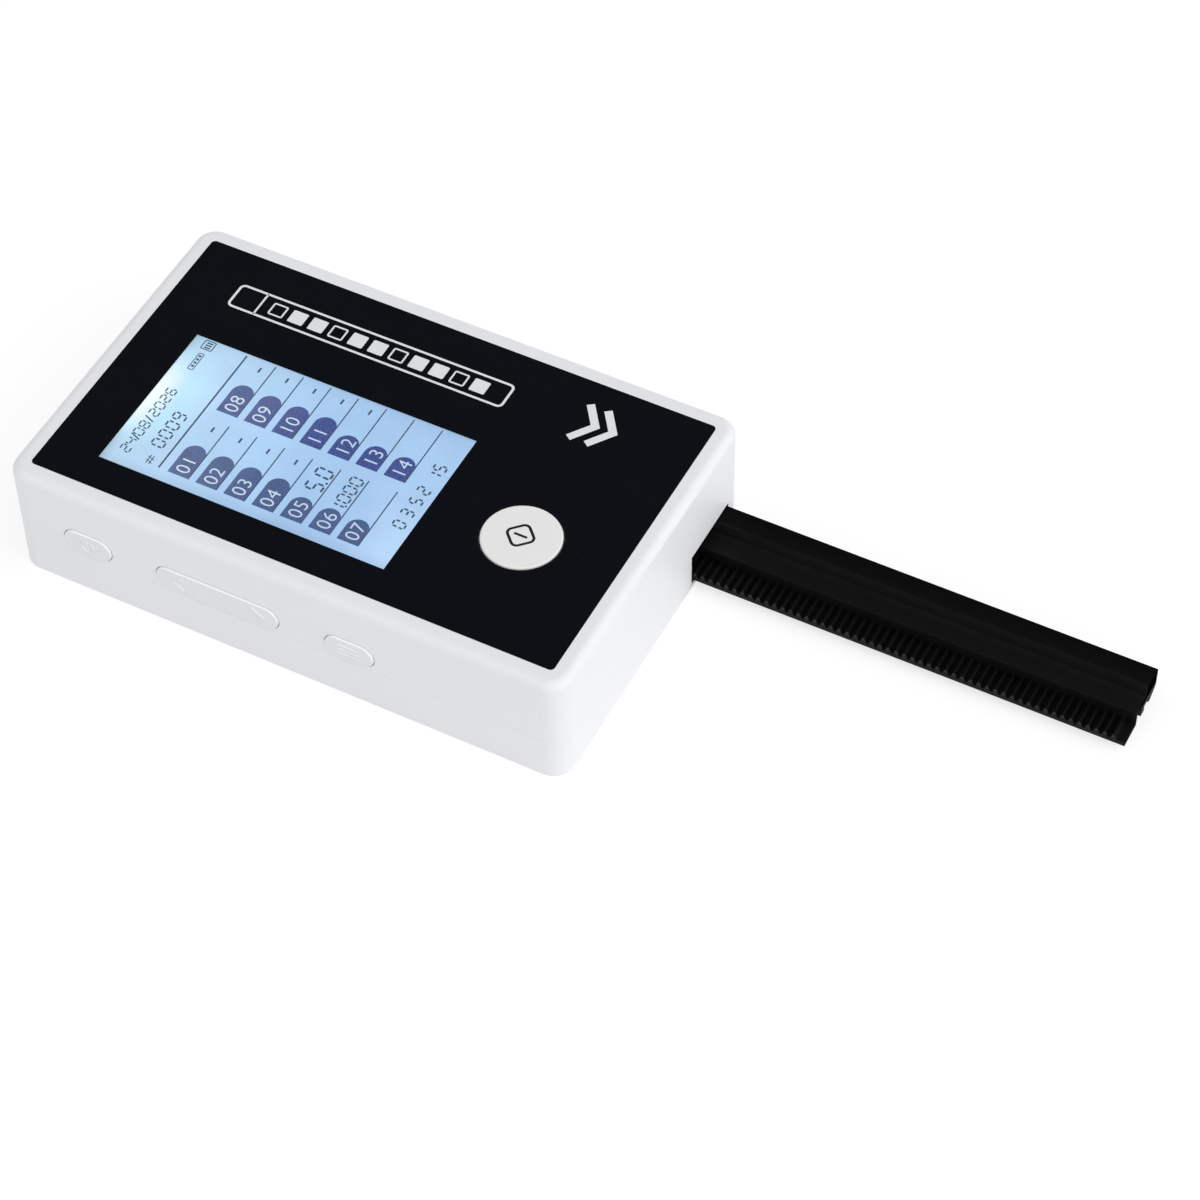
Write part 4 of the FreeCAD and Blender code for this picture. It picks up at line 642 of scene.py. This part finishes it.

# ---- Side keys -----------------------------------------------------------------------------------
# Three soft white keys on the near side, painted lighter along their upper edges as a painted highlight where
# those edges face the light. Their signs are moulded in relief: a power ring, an arrow at each end of the
# rocker, and three bars for the list key.

side_key = moulded("side_key_abs", tint(230, 231, 234), 0.42, tint(236, 237, 240), smears=0.12)
tree = side_key.node_tree
shader = tree.nodes["Principled BSDF"]
# Painted highlight: the base colour goes near white where the surface faces up and to the right.
facing_the_light = add(tree, "VectorMath", {0: add(tree, "NewGeometry").outputs["Normal"], 1: (0.5, 0.0, 0.866)},
             operation="DOT_PRODUCT").outputs["Value"]
painted_rim_highlight = blended(tree, span(tree, facing_the_light, 0.15, 0.6), shader.inputs["Base Color"].links[0].from_socket,
                  tint(254, 254, 255))
tree.links.new(painted_rim_highlight, shader.inputs["Base Color"])
dress(side_key, "power_key", "rocker_key", "menu_key")

relief = 0.35 * mm
key_face = {name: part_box(name) for name in ("power_key", "rocker_key", "menu_key")}


def relief_sign(name, shapes, key, body):
    """Signs standing off a key's face: flat shapes thickened outwards, with their edges rounded."""
    low, high = key_face[key]
    centre = ((low.x + high.x) / 2, low.y - relief * 0.6, (low.z + high.z) / 2)
    piece = drawn(name, shapes, centre, (1, 0, 0), (0, 0, 1))
    body_of_sign = piece.modifiers.new("body", "SOLIDIFY")
    body_of_sign.thickness, body_of_sign.offset = relief, -1.0
    soft = piece.modifiers.new("soft_edge", "BEVEL")
    soft.width, soft.segments, soft.limit_method = 0.07 * mm, 2, "ANGLE"
    piece.data.materials.append(side_key)
    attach(piece, body)


power_ring = stroke(arc((0, -0.1), 1.45, 125, 415, 22), 0.5)
relief_sign("power_sign", [power_ring, stroke([(0, 0.2), (0, 1.8)], 0.5)], "power_key", "power_push")
arrows = [stroke([(back, 1.7), (nose, 0), (back, -1.7)], 0.6)
          for back, nose in ((-7.7, -10.3), (8.2, 10.8))]
relief_sign("rocker_signs", arrows, "rocker_key", "rocker")
bars = [stroke([(-2.4, height), (2.4, height)], 0.5) for height in (-1.2, 0, 1.2)]
relief_sign("menu_sign", bars, "menu_key", "menu_push")

# ---- Strip tray ----------------------------------------------------------------------------------
# Black glass-filled moulding with a rack along its near side and a groove for the strip in front of a
# high ridge. Its front edges are painted a little grey, as wear from sliding and as a painted highlight along
# them.

ridge_front = tray_high.y - 5.2 * mm
ledge_back = tray_low.y + 5.2 * mm
tooth_root = tray_low.z + 0.9 * mm
groove_floor = tray_low.z + 4.2 * mm
foot_top = tray_low.z + 2.7 * mm
before_ridge = ("Y", ridge_front + 0.03 * mm, ridge_front - 0.03 * mm)

black_tray, tree, shader = material("black_tray_moulding")
cover = add(tree, "Group", {"Colour": tint(11, 11, 12), "Drift": 0.25, "Grain": 2600.0, "Roughness": 0.55,
                            "Smears": 0.2}, node_tree=skin).outputs
rim = add(tree, "Group", {"Radius": 0.1 * mm}, node_tree=edge).outputs
axes = add(tree, "SeparateXYZ", {0: add(tree, "TexCoord").outputs["Object"]}).outputs

# The ridge is painted darker towards its back, as painted shade. The rack along the near side is coloured
# darker. The ridge's front wall and the groove floor at its foot are painted lighter, as painted light
# against the shade there. The tooth ends are painted grey, as a painted highlight where they catch the light.
# Painted shade: the ridge's colour goes darker towards its back.
painted_ridge_shade = span(tree, axes["Y"], ridge_front - 0.3 * mm, tray_high.y, 0.0, 0.75)
colour = blended(tree, painted_ridge_shade, cover["Colour"], tint(4, 4, 5))
# The rack along the near side is coloured darker.
darker_rack = zone(tree, axes, ("Y", ledge_back + 0.05 * mm, ledge_back - 0.1 * mm),
             ("Z", tooth_root + 1.6 * mm, tooth_root + 1.4 * mm))
colour = blended(tree, darker_rack, colour, tint(9, 9, 10))
# Painted light: the ridge's front wall, which lies in shade, is lightened.
painted_wall_light = zone(tree, axes, ("Z", groove_floor + 0.1 * mm, groove_floor + 0.3 * mm), before_ridge,
             ("Y", ridge_front - 1.1 * mm, ridge_front - 0.2 * mm))
colour = blended(tree, painted_wall_light, colour, tint(22, 22, 23))
# Painted light: the groove floor is lightened towards the ridge's foot, against the shade in that corner.
painted_foot_light = zone(tree, axes, ("Y", ridge_front - 2.6 * mm, ridge_front - 0.4 * mm), before_ridge,
             ("Z", groove_floor + 0.2 * mm, groove_floor))
colour = blended(tree, painted_foot_light, colour, tint(21, 21, 23))
# Painted highlight: the tooth ends on the near face are lightened to grey.
painted_tooth_highlight = zone(tree, axes, ("Y", tray_low.y + 0.04 * mm, tray_low.y + 0.01 * mm),
              ("Z", tooth_root + 0.1 * mm, tooth_root + 0.9 * mm))
colour = blended(tree, painted_tooth_highlight, colour, tint(38, 38, 41))

# The end is cut: grey in front, nearly black behind, and pale below the foot's bevel.
at_end = span(tree, axes["X"], tray_high.x - 0.06 * mm, tray_high.x - 0.02 * mm)
behind = span(tree, axes["Y"], tray_low.y + 6 * mm, tray_low.y + 8 * mm)
cut = blended(tree, behind, tint(34, 34, 36), tint(3, 3, 4))
below = span(tree, axes["Z"], foot_top + 0.2 * mm, foot_top - 0.2 * mm)
cut = blended(tree, maths(tree, "MULTIPLY", behind, below), cut, tint(70, 70, 74))
colour = blended(tree, at_end, colour, cut)
# Edges in front of the ridge are painted grey: wear from sliding, and a painted highlight along them.
front = span(tree, axes["Y"], ridge_front, ridge_front - 1 * mm, 0.0, 0.2)
colour = blended(tree, maths(tree, "MULTIPLY", rim["Mask"], front), colour, tint(60, 60, 62))
surfaced(tree, shader, colour, cover["Roughness"], cover["Height"], 0.006 * mm, rim["Normal"])
sheen = span(tree, axes["Y"], ridge_front - 0.3 * mm, ridge_front + 0.9 * mm, 0.12, 0.04)
sheen = maths(tree, "MULTIPLY", sheen, maths(tree, "SUBTRACT", 1.0, at_end))
tree.links.new(sheen, shader.inputs["Specular IOR Level"])
dress(black_tray, "strip_tray", "tray_guide")
tile_white = moulded("calibration_tile", tint(244, 244, 240), 0.55, tint(250, 250, 250), grain=6000.0)
dress(tile_white, "white_reference")

# ---- Drive ---------------------------------------------------------------------------------------
# Acetal gears on a steel shaft in bronze bushes, a plate that holds them, and a small stepper motor.

acetal = moulded("acetal_gear", tint(232, 230, 220), 0.38, tint(244, 243, 236), depth=0.003 * mm)
dress(acetal, "drive_pinion", "reduction_gear", "motor_gear", "start_switch_plunger",
      "power_switch_plunger", "rocker_switch_plungers", "menu_switch_plunger")
dress(metal("sintered_bronze", tint(176, 132, 82), 0.3, marks=5200.0, depth=0.012 * mm), "inner_bush",
      "outer_bush")
dress(metal("motor_can_steel", tint(178, 180, 184), 0.26, marks=1200.0), "motor_body")
grey_moulding = moulded("grey_plate_moulding", tint(116, 119, 124), 0.45, tint(160, 162, 166))
dress(grey_moulding, "gear_plate")

# ---- Studio --------------------------------------------------------------------------------------
# Pale floor, an even white room, one large soft lamp high at the right, and a dark card behind the unit
# that keeps the gloss panel black. Metal and gloss mirror the white room, apart from that card.

floor_side, floor_drop = 6.0, 0.1 * mm
corner = np.array([-1.0, 1.0]) * floor_side / 2
across, along = np.meshgrid(corner, corner)
mesh = bpy.data.meshes.new("studio_floor")
ground = np.stack([across.ravel(), along.ravel(), np.full(4, -floor_drop)], axis=1)
mesh.from_pydata(ground, [], [(0, 1, 3, 2)])
floor = bpy.data.objects.new("studio_floor", mesh)
bpy.context.scene.collection.objects.link(floor)
floor_white = bpy.data.materials.new("studio_floor")
floor_white.use_nodes = True
tree = floor_white.node_tree
tree.nodes.clear()
path = add(tree, "LightPath").outputs
mirrored = maths(tree, "MAXIMUM", path["Is Glossy Ray"], path["Is Transmission Ray"])
seen = maths(tree, "MAXIMUM", path["Is Camera Ray"], mirrored)
bounce = add(tree, "BsdfDiffuse", {"Color": tint(241, 241, 241)}).outputs[0]
shaded = add(tree, "BsdfDiffuse", {"Color": (0.36, 0.36, 0.36, 1)}).outputs[0]
glow = add(tree, "Emission", {"Color": (1, 1, 1, 1), "Strength": 0.70}).outputs[0]
shown = add(tree, "AddShader", {0: shaded, 1: glow}).outputs[0]
result = add(tree, "MixShader", {0: seen, 1: bounce, 2: shown})
tree.links.new(result.outputs[0], tree.nodes.new("ShaderNodeOutputMaterial").inputs["Surface"])
floor.data.materials.append(floor_white)

world = bpy.data.worlds.new("studio_room")
bpy.context.scene.world = world
world.use_nodes = True
tree = world.node_tree
tree.nodes.clear()
aim = add(tree, "TexCoord").outputs["Generated"]
height = add(tree, "SeparateXYZ", {0: aim}).outputs["Z"]
brighter_wall, card_direction, card_level = (0.12, 0.15, 0.0), (-0.36, 0.55, 0.754), 0.1
sideways = add(tree, "VectorMath", {0: aim, 1: brighter_wall}, operation="DOT_PRODUCT").outputs["Value"]
level = maths(tree, "MULTIPLY", span(tree, height, 0.0, 0.7, 1.0, 1.04), maths(tree, "ADD", sideways, 1.0))
card = add(tree, "VectorMath", {0: aim, 1: card_direction}, operation="DOT_PRODUCT").outputs["Value"]
level = maths(tree, "MULTIPLY", level, span(tree, card, 0.78, 0.92, 1.0, card_level))
path = add(tree, "LightPath").outputs
seen = maths(tree, "MAXIMUM", path["Is Camera Ray"], path["Is Transmission Ray"])
light = add(tree, "Background", {"Color": blended(tree, seen, (0.98, 0.99, 1.0, 1), (1, 1, 1, 1)),
                                 "Strength": maths(tree, "MAXIMUM", level, seen)})
tree.links.new(light.outputs[0], tree.nodes.new("ShaderNodeOutputWorld").inputs["Surface"])

lamp_direction = Vector((0.80, -0.05, 0.60)).normalized()
lamp_distance, lamp_level = 1.6, 0.18
lamp = bpy.data.lights.new("soft_lamp", "AREA")
lamp.shape, lamp.size = "SQUARE", 1.0
lamp.energy = lamp_level * (math.pi * lamp_distance) ** 2
soft_lamp = bpy.data.objects.new("soft_lamp", lamp)
soft_lamp.location = lamp_direction * lamp_distance
soft_lamp.rotation_euler = lamp_direction.to_track_quat("Z", "Y").to_euler()
bpy.context.scene.collection.objects.link(soft_lamp)

lens = bpy.data.cameras.new("camera")
lens.sensor_width, lens.lens = 36.0, 112.197
camera = bpy.data.objects.new("camera", lens)
camera.location = (278.245 * mm, -423.919 * mm, 582.082 * mm)
camera.rotation_euler = (0.6965663, 0.01115899, 0.47940092)
bpy.context.scene.collection.objects.link(camera)
bpy.context.scene.camera = camera
bpy.context.scene.view_settings.view_transform = "Standard"
